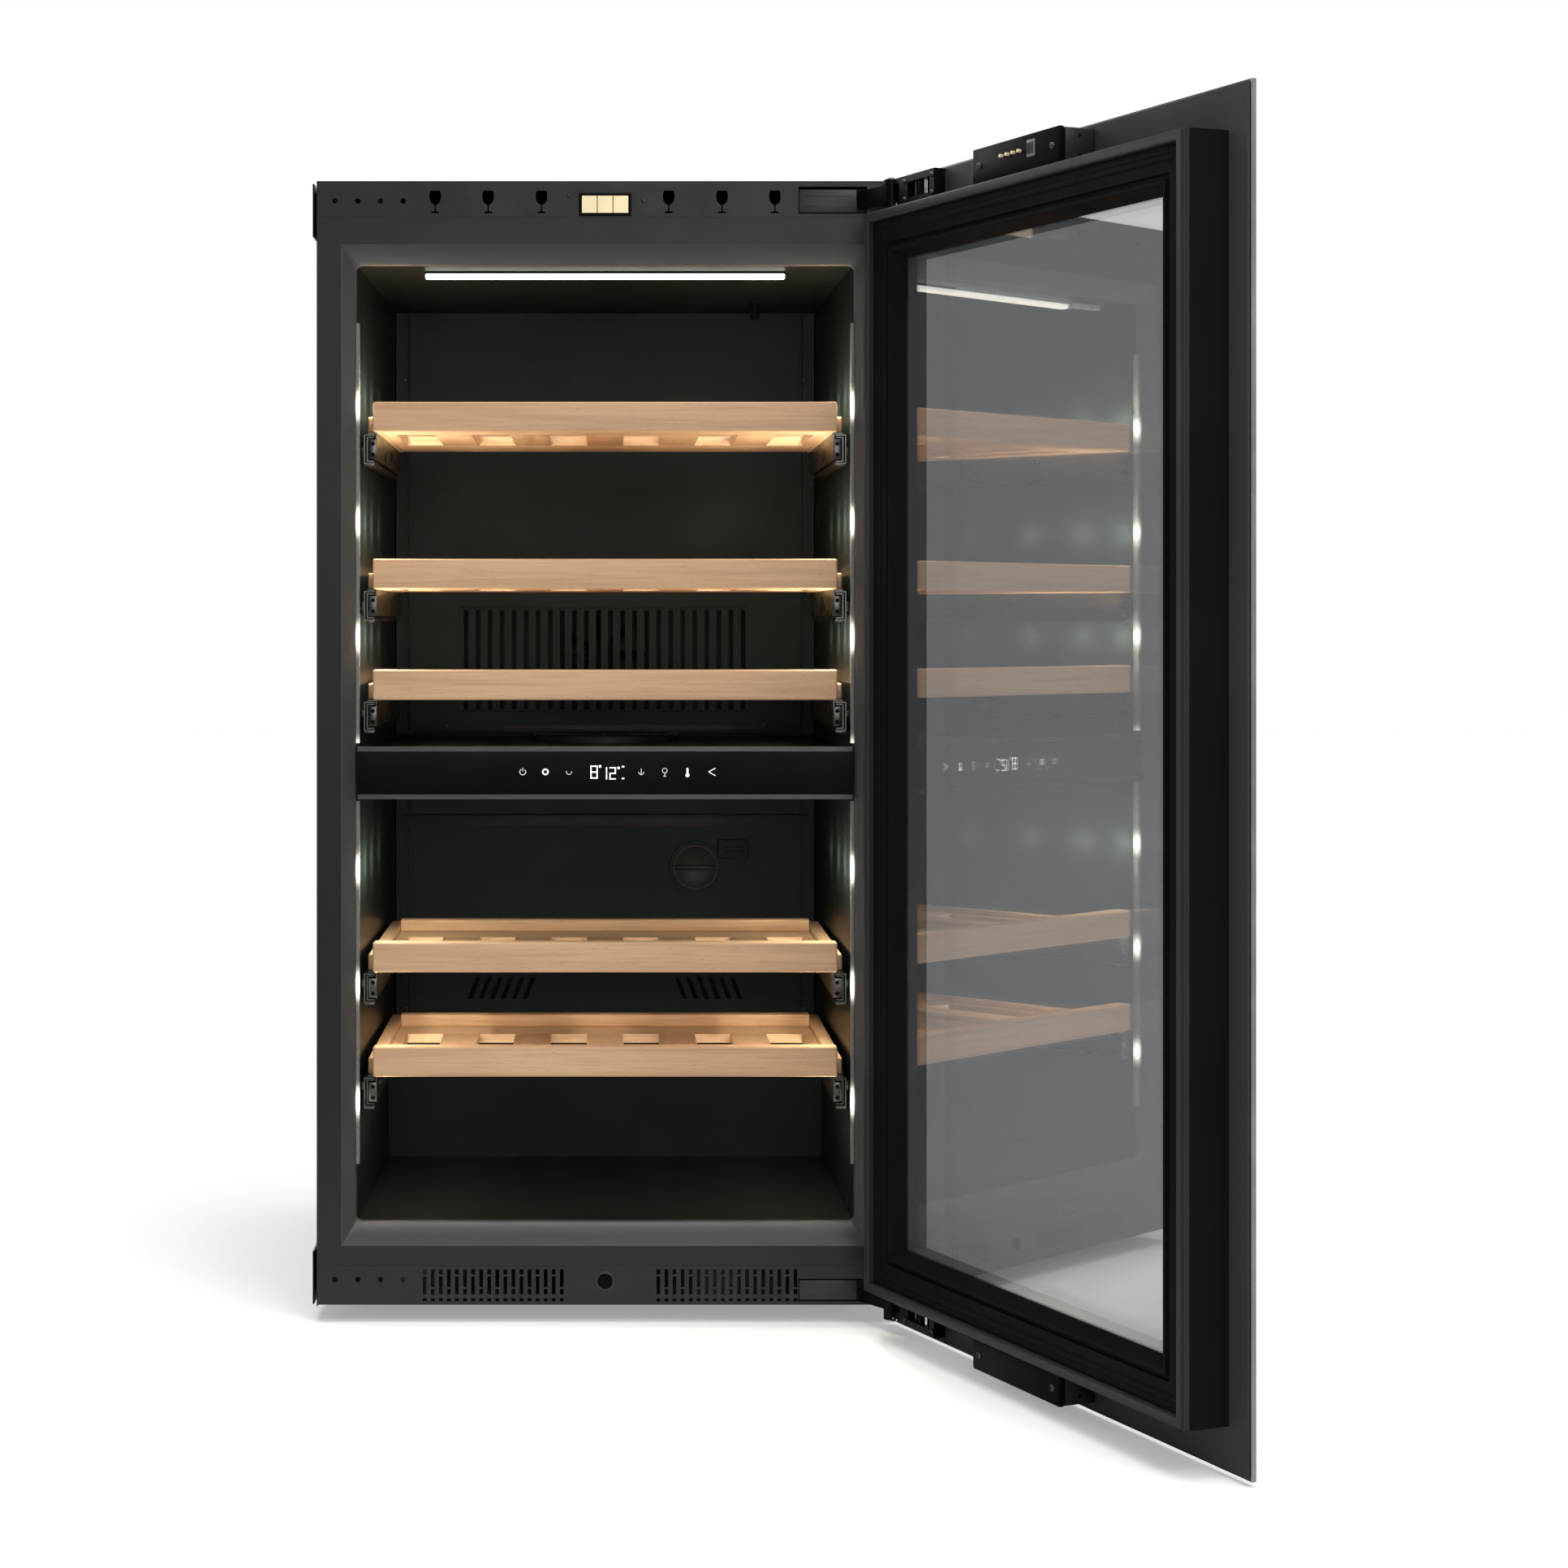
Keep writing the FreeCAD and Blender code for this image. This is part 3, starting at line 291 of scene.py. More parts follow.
def side_lamp():
    """A frosted strip with a row of bright spots along it."""
    s = Shader("side_lamp", 0.4)
    mottle = s.noise(200, 3)
    s.colour(s.ramp(mottle, [(0.3, (0.10, 0.10, 0.09)), (0.7, (0.14, 0.14, 0.13))]))
    split = s.add("ShaderNodeSeparateXYZ")
    s.link(s.coords, split.inputs[0])
    height = s.math("SUBTRACT", split.outputs["Z"], (SPOT_TOP + FOOT) / 1000)
    wave = s.math("COSINE", s.math("MULTIPLY", height, 2 * pi / (SPOT_STEP / 1000)))
    peak = s.math("POWER", s.math("MULTIPLY", s.math("ADD", wave, 1.0), 0.5), 14.0)
    s.set("Emission Color", (1.0, 0.97, 0.82, 1))
    s.link(s.math("ADD", s.math("MULTIPLY", peak, 5.0), 0.03), s.bsdf.inputs["Emission Strength"])
    return s.material


M["side_lamp"] = side_lamp()

SLIDE_NODES = [f"slide_{kind}_{n}" for kind in ("middle", "carrier") for n in range(1, 6)]
NODE_MATERIALS = {
    "casing": ["outer_casing"],
    "galvanised": ["base_plate", "back_panel"],
    "foam": ["insulation"],
    "liner": ["inner_liner", "zone_divider"],
    "cover": ["rear_cover_upper", "rear_cover_lower", "charcoal_filter"],
    "rim": ["front_frame"],
    "trim": ["top_trim", "bottom_trim"],
    "black": ["door_pusher", "contact_block", "console_housing", "control_box", "power_inlet",
              "temperature_sensors", "door_modules", "fan_housings", "fan_rotor_condenser",
              "fan_rotor_upper", "fan_rotor_lower"],
    "gold": ["contact_pads", "contact_pins"],
    "runner": ["glide_runners"],
    "black_steel": ["niche_brackets", "hinge_leaves", "hinge_arms"],
    "zinc": ["slide_channels"] + SLIDE_NODES,
    "steel": ["hinge_pins"],
    "aluminium": ["console_trims"],
    "edge": ["door_edge_trims"],
    "fin": ["condenser", "evaporators"],
    "enamel": ["compressor"],
    "console": ["console_glass"],
    "board": ["display_module"],
    "lamp": ["ceiling_light"],
    "side_lamp": ["side_lights"],
    "coated": ["door_inner_pane"],
    "door_black": ["door_frame"],
    "spacer": ["glass_spacer"],
    "rubber": ["door_gasket"],
    "tinted": ["door_glass"],
    "wood_x": [f"shelf_{n}" for n in range(1, 6)],
}
for key, names in NODE_MATERIALS.items():
    for node_name in names:
        for slot in NODES[node_name].material_slots:
            slot.material = M[key]


# --- mesh helpers -----------------------------------------------------------------------------
def piece(name, mesh, body, materials, door=False, smooth=None):
    """Turn a bmesh in the row frame into a piece that rides on a body."""
    data = bpy.data.meshes.new(name)
    if door:
        bmesh.ops.transform(mesh, matrix=DOOR_TURN, verts=mesh.verts)
    bmesh.ops.recalc_face_normals(mesh, faces=mesh.faces)
    mesh.to_mesh(data)
    mesh.free()
    for material in materials:
        data.materials.append(M[material])
    made = bpy.data.objects.new(name, data)
    bpy.context.scene.collection.objects.link(made)
    if smooth is not None:
        data.shade_smooth()
        data.set_sharp_from_angle(angle=radians(smooth))
    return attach(made, body)


def add_box(mesh, low, high, ease=0.0, steps=2, material=0):
    """A box between two corners in datum millimetres, with eased edges."""
    a, b = at(*low), at(*high)
    made = bmesh.ops.create_cube(mesh, size=1.0)["verts"]
    for v in made:
        v.co = Vector([a[i] + (v.co[i] + 0.5) * (b[i] - a[i]) for i in range(3)])
        for f in v.link_faces:
            f.material_index = material
    if ease:
        edges = list(dict.fromkeys(e for v in made for e in v.link_edges))
        bmesh.ops.bevel(
            mesh, geom=edges, offset=ease / 1000, segments=steps, affect="EDGES",
            profile=0.5, material=-1,
        )


AXES = {
    "x": Matrix.Rotation(pi / 2, 4, "Y"),
    "y": Matrix.Rotation(-pi / 2, 4, "X"),
    "z": Matrix.Identity(4),
}


def add_lathe(mesh, centre, axis, outline, sides=24, material=0, flip=False):
    """Turn an outline of (radius, height) in millimetres about an axis through a datum point."""
    sense = -1 if flip else 1
    place = Matrix.Translation(at(*centre)) @ AXES[axis]
    rings = []
    for radius, height in outline:
        h = sense * height / 1000
        if radius < 1e-6:
            rings.append([mesh.verts.new(place @ Vector((0, 0, h)))])
            continue
        r = radius / 1000
        turns = [2 * pi * k / sides for k in range(sides)]
        points = [place @ Vector((r * cos(turn), r * sin(turn), h)) for turn in turns]
        rings.append([mesh.verts.new(point) for point in points])
    for lower, upper in zip(rings, rings[1:]):
        for k in range(sides):
            below = [lower[k % len(lower)], lower[(k + 1) % len(lower)]]
            above = [upper[(k + 1) % len(upper)], upper[k % len(upper)]]
            corners = list(dict.fromkeys(below + above))
            if len(corners) > 2:
                mesh.faces.new(corners).material_index = material
    for ring in (rings[0], rings[-1]):
        if len(ring) > 2:
            mesh.faces.new(ring).material_index = material


def add_frame(mesh, half, low, top, profile, material=0):
    """A mitred rectangular frame: each profile point is (inset from the outline, y)."""
    corners = ((-1, low, 1), (1, low, 1), (1, top, -1), (-1, top, -1))
    loops = [
        [mesh.verts.new(at(side * (half - inset), y, z + way * inset)) for inset, y in profile]
        for side, z, way in corners
    ]
    count = len(profile)
    for k in range(4):
        here, after = loops[k], loops[(k + 1) % 4]
        for n in range(count):
            m = (n + 1) % count
            mesh.faces.new((here[n], after[n], after[m], here[m])).material_index = material


def rounded(profile, radius, steps=3):
    """The closed profile with each corner rounded by an arc; a corner may carry its own radius."""
    out = []
    count = len(profile)
    for k in range(count):
        here = Vector(profile[k][:2])
        own = profile[k][2] if len(profile[k]) > 2 else radius
        before, after = Vector(profile[k - 1][:2]), Vector(profile[(k + 1) % count][:2])
        to_before, to_after = before - here, after - here
        reach = min(own, to_before.length * 0.45, to_after.length * 0.45)
        if reach <= 0.01:
            out.append(tuple(here))
            continue
        start, end = here + to_before.normalized() * reach, here + to_after.normalized() * reach
        for n in range(steps + 1):
            t = n / steps
            out.append(tuple((1 - t) ** 2 * start + 2 * t * (1 - t) * here + t * t * end))
    return out


def add_screw(mesh, centre, axis, radius, flip=False, material=0, cross_shade_material=1):
    """A pan-head screw whose cross recess is a dark cross box, painted shade in the recess. The
    head rises along the axis from its centre point.
    """
    section = ((1, 0), (1, 0.25), (0.86, 0.52), (0.5, 0.66), (0, 0.7))
    dome = [(radius * out, radius * up) for out, up in section]
    add_lathe(mesh, centre, axis, dome, 20, material, flip)
    sense = -1 if flip else 1
    index = "xyz".index(axis)
    others = [i for i in range(3) if i != index]
    # painted shade: the recess is drawn as a cross of dark material standing in the head, not as a
    # hollow
    for along, across in (others, others[::-1]):
        low, high = list(centre), list(centre)
        low[along] -= radius * 0.55
        high[along] += radius * 0.55
        low[across] -= radius * 0.12
        high[across] += radius * 0.12
        low[index] = centre[index] + sense * 0.5 * radius
        high[index] = centre[index] + sense * 0.72 * radius
        near = [min(pair) for pair in zip(low, high)]
        far = [max(pair) for pair in zip(low, high)]
        add_box(mesh, near, far, material=cross_shade_material)


# --- shelves ----------------------------------------------------------------------------------
BOARD_HALF, SIDE_HALF = 204.5, 217  # half widths inside and outside the side bars
BAR_BACK, SLAT_FRONT, SLAT_BACK, SHELF_BACK = 33, 69, 233, 340  # y from front to back
SLOT_PITCH, SLOT_HALF = 70.5, 17.5  # distance between two slots, half a slot's width


def add_board(mesh, low, high, ease, along, steps=3):
    """One board: its long faces carry the grain along an axis, its two ends carry end grain."""
    before = set(mesh.faces)
    add_box(mesh, low, high, ease, steps)
    axis = "xyz".index(along)
    for f in set(mesh.faces) - before:
        f.normal_update()
        f.material_index = 2 if abs(f.normal[axis]) > 0.8 else (0 if along == "x" else 1)


def shelf(number, level):
    """Front bar, rails, slats, side bars and stop, each with eased edges and its own grain."""
    mesh = bmesh.new()
    half, low, top = BOARD_HALF, level + 0.6, level + 9.6
    add_board(mesh, (-211.5, 15, level), (211.5, BAR_BACK, level + 27.5), 2.2, "x", 4)
    add_board(mesh, (-half, BAR_BACK, low), (half, SLAT_FRONT, top), 0.8, "x")
    add_board(mesh, (-half, SLAT_BACK, low), (half, SHELF_BACK, top), 0.8, "x")
    add_board(mesh, (-half, 286, top), (half, 304, level + 21.5), 1.2, "x")
    for k in range(7):
        left = -half if k == 0 else SLOT_PITCH * (k - 3.5) + SLOT_HALF
        right = half if k == 6 else SLOT_PITCH * (k - 2.5) - SLOT_HALF
        add_board(mesh, (left, SLAT_FRONT, low), (right, SLAT_BACK, top), 0.8, "y")
    for left, right in ((-SIDE_HALF, -half), (half, SIDE_HALF)):
        add_board(mesh, (left, BAR_BACK, level), (right, SHELF_BACK, level + 15), 1.6, "y")
    woods = ["wood_x", "wood_y", "wood_end"]
    made = piece(f"shelf_{number}_wood", mesh, f"shelf_{number}", woods, smooth=35)
    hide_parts(f"shelf_{number}")

    ends = bmesh.new()
    middle = level - SLIDE_DROP
    rivet = [(1.9, 0), (1.9, 0.15), (1.3, 0.3), (0, 0.32)]
    for side in (-1, 1):
        left, right = sorted((side * 208.5, side * 215.5))
        add_box(ends, (left, 24.3, middle - 8.8), (right, 25.6, middle + 8.8), 0.4)
        for z in (-5, 5):
            add_lathe(ends, (side * 212, 24.35, middle + z), "y", rivet, 14, 1, True)
        add_screw(ends, (side * 210.8, 45, level - 0.05), "z", 1.8, True)
    looks = ["zinc", "black"]
    piece(f"slide_ends_{number}", ends, f"shelf_{number}", looks, smooth=40)


for shelf_number, shelf_level in enumerate(LEVELS, start=1):
    shelf(shelf_number, shelf_level)


# --- door -------------------------------------------------------------------------------------
RIM_HALF, RIM_LOW, RIM_TOP = 251.5, 24.0, 982.0  # the door frame's outline
WINDOW = 38.0  # from the frame's outline to the window in the printed border
PANEL_FRONT, PANEL_BACK = -48, -44  # y of the outer glass
FRAME_FRONT, FRAME_BACK = -41.98, -8  # y of the door frame


def panel_ring(name, material, half, low, top, front, back, ease):
    """A flat border with the window left out: two stiles and two rails that meet flush."""
    x, z0, z1 = RIM_HALF - WINDOW, RIM_LOW + WINDOW, RIM_TOP - WINDOW
    mesh = bmesh.new()
    corners = ((-half, low, half, low, -x, z0, x, z0), (half, low, half, top, x, z0, x, z1),
               (half, top, -half, top, x, z1, -x, z1), (-half, top, -half, low, -x, z1, -x, z0))
    for ax, az, bx, bz, cx, cz, dx, dz in corners:
        outline = ((ax, az), (bx, bz), (dx, dz), (cx, cz))
        fronts = [mesh.verts.new(at(px, front, pz)) for px, pz in outline]
        backs = [mesh.verts.new(at(px, back, pz)) for px, pz in outline]
        mesh.faces.new(fronts)
        mesh.faces.new(backs[::-1])
        mesh.faces.new((fronts[0], backs[0], backs[1], fronts[1]))
        mesh.faces.new((fronts[2], backs[2], backs[3], fronts[3]))
    bmesh.ops.remove_doubles(mesh, verts=mesh.verts, dist=0.00001)
    rims = [e for e in mesh.edges if len(e.link_faces) == 2 and e.calc_face_angle(0) > 1.0]
    bmesh.ops.bevel(mesh, geom=rims, offset=ease / 1000, segments=2, affect="EDGES", profile=0.5)
    return piece(name, mesh, "door", [material], door=True, smooth=30)


def door_panel():
    """The outer glass: its black border, the tinted window in it, and the print behind it."""
    border = panel_ring("door_border", "front_glass", 276.3, -11, 1016.5,
                        PANEL_FRONT, PANEL_BACK, 0.5)
    mesh = bmesh.new()
    inset = WINDOW + 0.02
    x, z0, z1 = RIM_HALF - inset, RIM_LOW + inset, RIM_TOP - inset
    add_box(mesh, (-x, PANEL_FRONT, z0), (x, PANEL_BACK, z1), 0.02, 1)
    window = piece("door_window", mesh, "door", ["tinted"], door=True)
    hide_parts("door_glass")
    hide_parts("door_glass")
    panel_ring("door_backing", "print", 275.5, -9, 1014.5, -43.98, -42, 0.4)


def door_frame():
    """The frame's moulding and the gasket on it, mitred at the corners."""
    mesh = bmesh.new()
    moulding = [  # inset from the outline, y, corner radius
        (0, FRAME_FRONT, 0), (0, FRAME_BACK, 1.2), (19.6, FRAME_BACK, 0.3), (20.4, -9, 0.3),
        (28.8, -9, 0.4), (29.4, -12, 0.4), (32.6, -12, 0.4), (33.2, FRAME_BACK, 0.8),
        (36.4, FRAME_BACK, 1.2), (39.6, -15, 1.0), (43, -21.96, 0.3), (38, -21.96, 0),
        (38, FRAME_FRONT, 0),
    ]
    add_frame(mesh, RIM_HALF, RIM_LOW, RIM_TOP, rounded(moulding, 0.5))
    plug = [(2.0, 0), (2.0, 0.9), (1.4, 1.6), (0, 1.8)]
    for x in (-220.5, 220.5):
        for z in (965, 41):
            add_lathe(mesh, (x, -9.1, z), "y", plug, 16, 1)
    looks = ["door_black", "grey"]
    made = piece("door_moulding", mesh, "door", looks, door=True, smooth=40)
    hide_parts("door_frame")

    mesh = bmesh.new()
    balloon = [
        (0.5, -7.98, 0), (0.25, -6.6, 0.4), (0.25, -2.9, 0.8), (1.7, -2.3, 0.4), (1.2, -1.1, 0.8),
        (4.6, -0.75, 2), (8.2, -1.2, 0.9), (8.9, -3.2, 0.8), (8.3, -5.6, 0.8), (8.6, -7.98, 0),
    ]
    strip = [
        (8.7, -7.98, 0), (9.0, -6.7, 0.4), (14.4, -6.9, 0.3), (14.9, -7.5, 0.2),
        (15.6, -6.9, 0.2), (19.4, -6.9, 0.4), (19.8, -7.98, 0),
    ]
    add_frame(mesh, RIM_HALF, RIM_LOW, RIM_TOP, rounded(balloon, 0.5))
    add_frame(mesh, RIM_HALF, RIM_LOW, RIM_TOP, rounded(strip, 0.3), 1)
    looks = ["rubber", "door_black"]
    made = piece("door_seal", mesh, "door", looks, door=True, smooth=50)
    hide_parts("door_gasket")


def door_modules():
    """Housings on the door's upper and lower edges, with a lid seam, screws and a plug."""
    for name, low, top in (("top", 982.4, 1012), ("bottom", -3, 23.6)):
        mesh = bmesh.new()
        add_box(mesh, (-67.4, FRAME_FRONT, low + 0.2), (67.4, -13.4, top - 0.6), 1.2)
        add_box(mesh, (-68.5, -13, low), (68.5, FRAME_BACK, top), 1.2)
        add_box(mesh, (-67.0, -14, low + 0.6), (67.0, -12, top - 1.4), 0.2, material=1)
        dot = [(1.6, 0), (1.6, 0.15), (0, 0.18)]
        for side in (-1, 1):
            x0, x1 = sorted((side * 67.3, side * 68.4))
            add_box(mesh, (x0, -41, low + 1), (x1, -14, top - 1.6), 0.5, material=3)
            for z in (low + 7, top - 7):
                add_lathe(mesh, (side * 68.3, -27, z), "x", dot, 14, 1, side < 0)
        for x in (-58, 58):
            add_screw(mesh, (x, -9.0, (low + top) / 2), "y", 3.2, material=2)
        looks = ["black", "door_black", "dark_steel", "trim"]
        name = f"door_module_{name}"
        made = piece(name, mesh, "door", looks, door=True, smooth=35)
        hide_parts("door_modules")
    mesh = bmesh.new()
    z = 1000
    add_box(mesh, (-32, -8.6, z - 7), (-20, -6.9, z + 7), 0.7)
    for k in range(5):
        x = -30.6 + 2.1 * k
        add_box(mesh, (x, -7.2, z - 4.5), (x + 1.0, -6.6, z + 4.5), 0.15, material=1)
    piece("module_plug", mesh, "door", ["grey", "black"], door=True, smooth=35)


door_panel()
door_frame()
door_modules()


# --- hinges -----------------------------------------------------------------------------------
def hinge_details():
    """Link pins and rivets on the leaves, and a beaded cover on each arm's plate."""
    heights = (("top", 988, 1014, 989.5, 1010.5), ("bottom", -4, 20, 5.5, 23.5))
    for name, low, top, plate_low, plate_top in heights:
        mesh = bmesh.new()
        rod_height = top - low - 11.8
        for x, radius, material in ((190, 1.2, 1), (198.5, 2.0, 0), (218, 1.2, 1)):
            rod = [(radius, 0), (radius, rod_height)]
            add_lathe(mesh, (x, -36.5, low + 5.9), "z", rod, 16, material)
        for x in (179.8, 229):
            for z in (low + 5.2, top - 5.2):
                add_screw(mesh, (x, -31.2, z), "y", 2.6, material=1, cross_shade_material=2)
        cap = [(5.2, 0), (5.2, 0.6), (4.2, 1.2), (3.2, 1.3)]
        add_lathe(mesh, (256, -32, top + 0.05), "z", cap, 24, 1)
        rivet = [(1.4, 0), (1.4, 0.5), (0.8, 0.9), (0, 1.0)]
        for x in (243, 250):
            add_lathe(mesh, (x, -30.6, low + 2.2), "y", rivet, 14, 0)
        looks = ["steel", "dark_steel", "black"]
        piece(f"hinge_rods_{name}", mesh, "door", looks, door=True, smooth=35)

        mesh = bmesh.new()
        middle = (plate_low + plate_top) / 2
        add_box(mesh, (175.9, 0.5, plate_low + 0.2), (227.5, 1.05, plate_top - 0.2), 0.3)
        for z in (middle - 4.6, middle + 4.6):
            add_box(mesh, (181, 0.2, z - 0.5), (223, 0.7, z + 0.5), 0.25)
        piece(f"hinge_cover_{name}", mesh, "cabinet", ["plate"], smooth=35)


hinge_details()


# --- cabinet front ----------------------------------------------------------------------------
def front_frame():
    """The bevelled frame round the opening, with rounded inner corners and a soft inner edge."""
    loops = (  # half width, low, top, corner radius, y
        (239, 54, 961, 0.5, 20), (239, 54, 961, 0.5, 0.3),
        (238.7, 54.3, 960.7, 0.8, 0), (238, 55, 960, 1.2, 0.05),
        (227.6, 73.0, 944.2, 5.0, 12.6), (226.8, 73.8, 943.2, 5.4, 13.6),
        (226.5, 74, 943, 5.4, 15), (226.5, 74, 943, 5.4, 20),
    )
    mesh = bmesh.new()
    steps = 8
    rings = []
    for half, low, top, radius, y in loops:
        corners = ((half - radius, top - radius, 0), (radius - half, top - radius, 1),
                   (radius - half, low + radius, 2), (half - radius, low + radius, 3))
        ring = []
        for x, z, quarter in corners:
            for n in range(steps + 1):
                turn = pi / 2 * (quarter + n / steps)
                ring.append(mesh.verts.new(at(x + radius * cos(turn), y, z + radius * sin(turn))))
        rings.append(ring)
    count = len(rings[0])
    for k, ring in enumerate(rings):
        after = rings[(k + 1) % len(rings)]
        for n in range(count):
            m = (n + 1) % count
            mesh.faces.new((ring[n], ring[m], after[m], after[n]))
    made = piece("front_bezel", mesh, "cabinet", ["rim"], smooth=40)
    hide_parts("front_frame")


front_frame()


def front_details():
    """Screws and hole plugs in the trims, and the collar round the door pusher."""
    mesh = bmesh.new()
    for x, z in ((-32.8, 1004.5), (34.3, 1000.0)):
        add_screw(mesh, (x, 0.25, z), "y", 1.5, True, 0, 1)
    plug = [(2.4, 0), (2.4, 2.4), (1.2, 2.7), (0, 2.75)]
    for x in (-244.4, -203.2):
        for z in (1000, 24):
            add_lathe(mesh, (x, 2.9, z), "y", plug, 16, 1, True)
    piece("trim_screws", mesh, "cabinet", ["dark_steel", "black"], smooth=35)

    mesh = bmesh.new()
    collar = [(6.7, 0), (9.0, 0), (9.0, 0.7), (8.4, 1.0), (7.2, 1.0), (6.7, 0.6)]
    add_lathe(mesh, (0, 0.6, 22.4), "y", collar, 36, 0, True)
    piece("pusher_collar", mesh, "cabinet", ["plate"], smooth=35)


front_details()


# --- console ----------------------------------------------------------------------------------
SEGMENTS = {"8": "abcdefg", "1": "bc", "2": "abged"}


PRINT_FACE, PRINT_DEPTH = 9.98, 0.06  # y of the marks' face on the glass and their thickness


def add_mark(mesh, left, right, low, top, ease=0.03):
    """A flat printed bar on the glass."""
    near = (left, PRINT_FACE - PRINT_DEPTH, low)
    add_box(mesh, near, (right, PRINT_FACE, top), ease, 1)


def add_digit(mesh, digit, x, z, width, height, bar):
    """A seven-segment digit on the glass."""
    half, right = height / 2, x + width - bar
    places = {
        "a": (x, z + height - bar, width, bar), "g": (x, z + half - bar / 2, width, bar),
        "d": (x, z, width, bar), "f": (x, z + half, bar, half), "b": (right, z + half, bar, half),
        "e": (x, z, bar, half), "c": (right, z, bar, half),
    }
    gap = 0.18
    for key in SEGMENTS[digit]:
        left, low, length, rise = places[key]
        add_mark(mesh, left + gap, left + length - gap, low + gap, low + rise - gap)


def add_ring(mesh, x, z, outer, inner, sides=20, part=1.0):
    """A flat printed ring or arc on the glass."""
    y = PRINT_FACE - 0.05
    start = pi / 2 + pi * (1 - part)
    for k in range(int(sides * part)):
        a, b = 2 * pi * k / sides + start, 2 * pi * (k + 1) / sides + start
        quad = [(outer, a), (outer, b), (inner, b), (inner, a)]
        mesh.faces.new([mesh.verts.new(at(x + r * cos(t), y, z + r * sin(t))) for r, t in quad])


def console_details():
    """Icons and figures behind the console's glass."""
    z = 482.9  # the middle of the console
    mesh = bmesh.new()
    add_digit(mesh, "8", -13.4, z - 6.2, 6.8, 12.0, 1.35)
    add_ring(mesh, -4.6, z + 5.0, 1.2, 0.6)
    add_digit(mesh, "1", -3.6, z - 7.0, 5.6, 11.4, 1.3)
    add_digit(mesh, "2", 3.8, z - 7.0, 6.2, 11.4, 1.3)
    add_ring(mesh, 12.2, z + 3.6, 1.2, 0.6)
    for low in (z + 4.2, z - 6.6):
        add_mark(mesh, 15.2, 17.4, low, low + 1.2)
    piece("console_figures", mesh, "cabinet", ["icon"])

    mesh = bmesh.new()
    add_ring(mesh, -74.8, z, 3.0, 2.4, 24, 0.82)
    add_mark(mesh, -75.1, -74.5, z + 0.6, z + 3.6)
    add_ring(mesh, -54.2, z, 3.1, 1.6, 24)
    add_ring(mesh, -32.8, z, 2.6, 2.1, 24, 0.6)
    add_ring(mesh, 32.8, z, 2.6, 2.1, 24, 0.5)
    add_mark(mesh, 32.5, 33.1, z - 3, z + 3)
    add_ring(mesh, 54.2, z + 1.2, 2.4, 1.9, 24)
    add_mark(mesh, 53.9, 54.5, z - 3.8, z - 1.2)
    add_mark(mesh, 52.8, 55.6, z - 4.2, z - 3.7)
    piece("console_icons_dim", mesh, "cabinet", ["icon_dim"])

    mesh = bmesh.new()
    add_mark(mesh, 74.0, 75.6, z - 2.6, z + 3.4)
    add_ring(mesh, 74.8, z - 3.0, 1.7, 0.0, 18)
    step = 0.62  # the chevron's two arms are rows of small marks
    for turn in (0.55, -0.55):
        for n in range(10):
            x, rise = 94.0 + n * step, turn * (n + 0.5) * step
            add_mark(mesh, x, x + step, z + rise - 0.28, z + rise + 0.28, 0.02)
    piece("console_icons", mesh, "cabinet", ["icon"])


console_details()


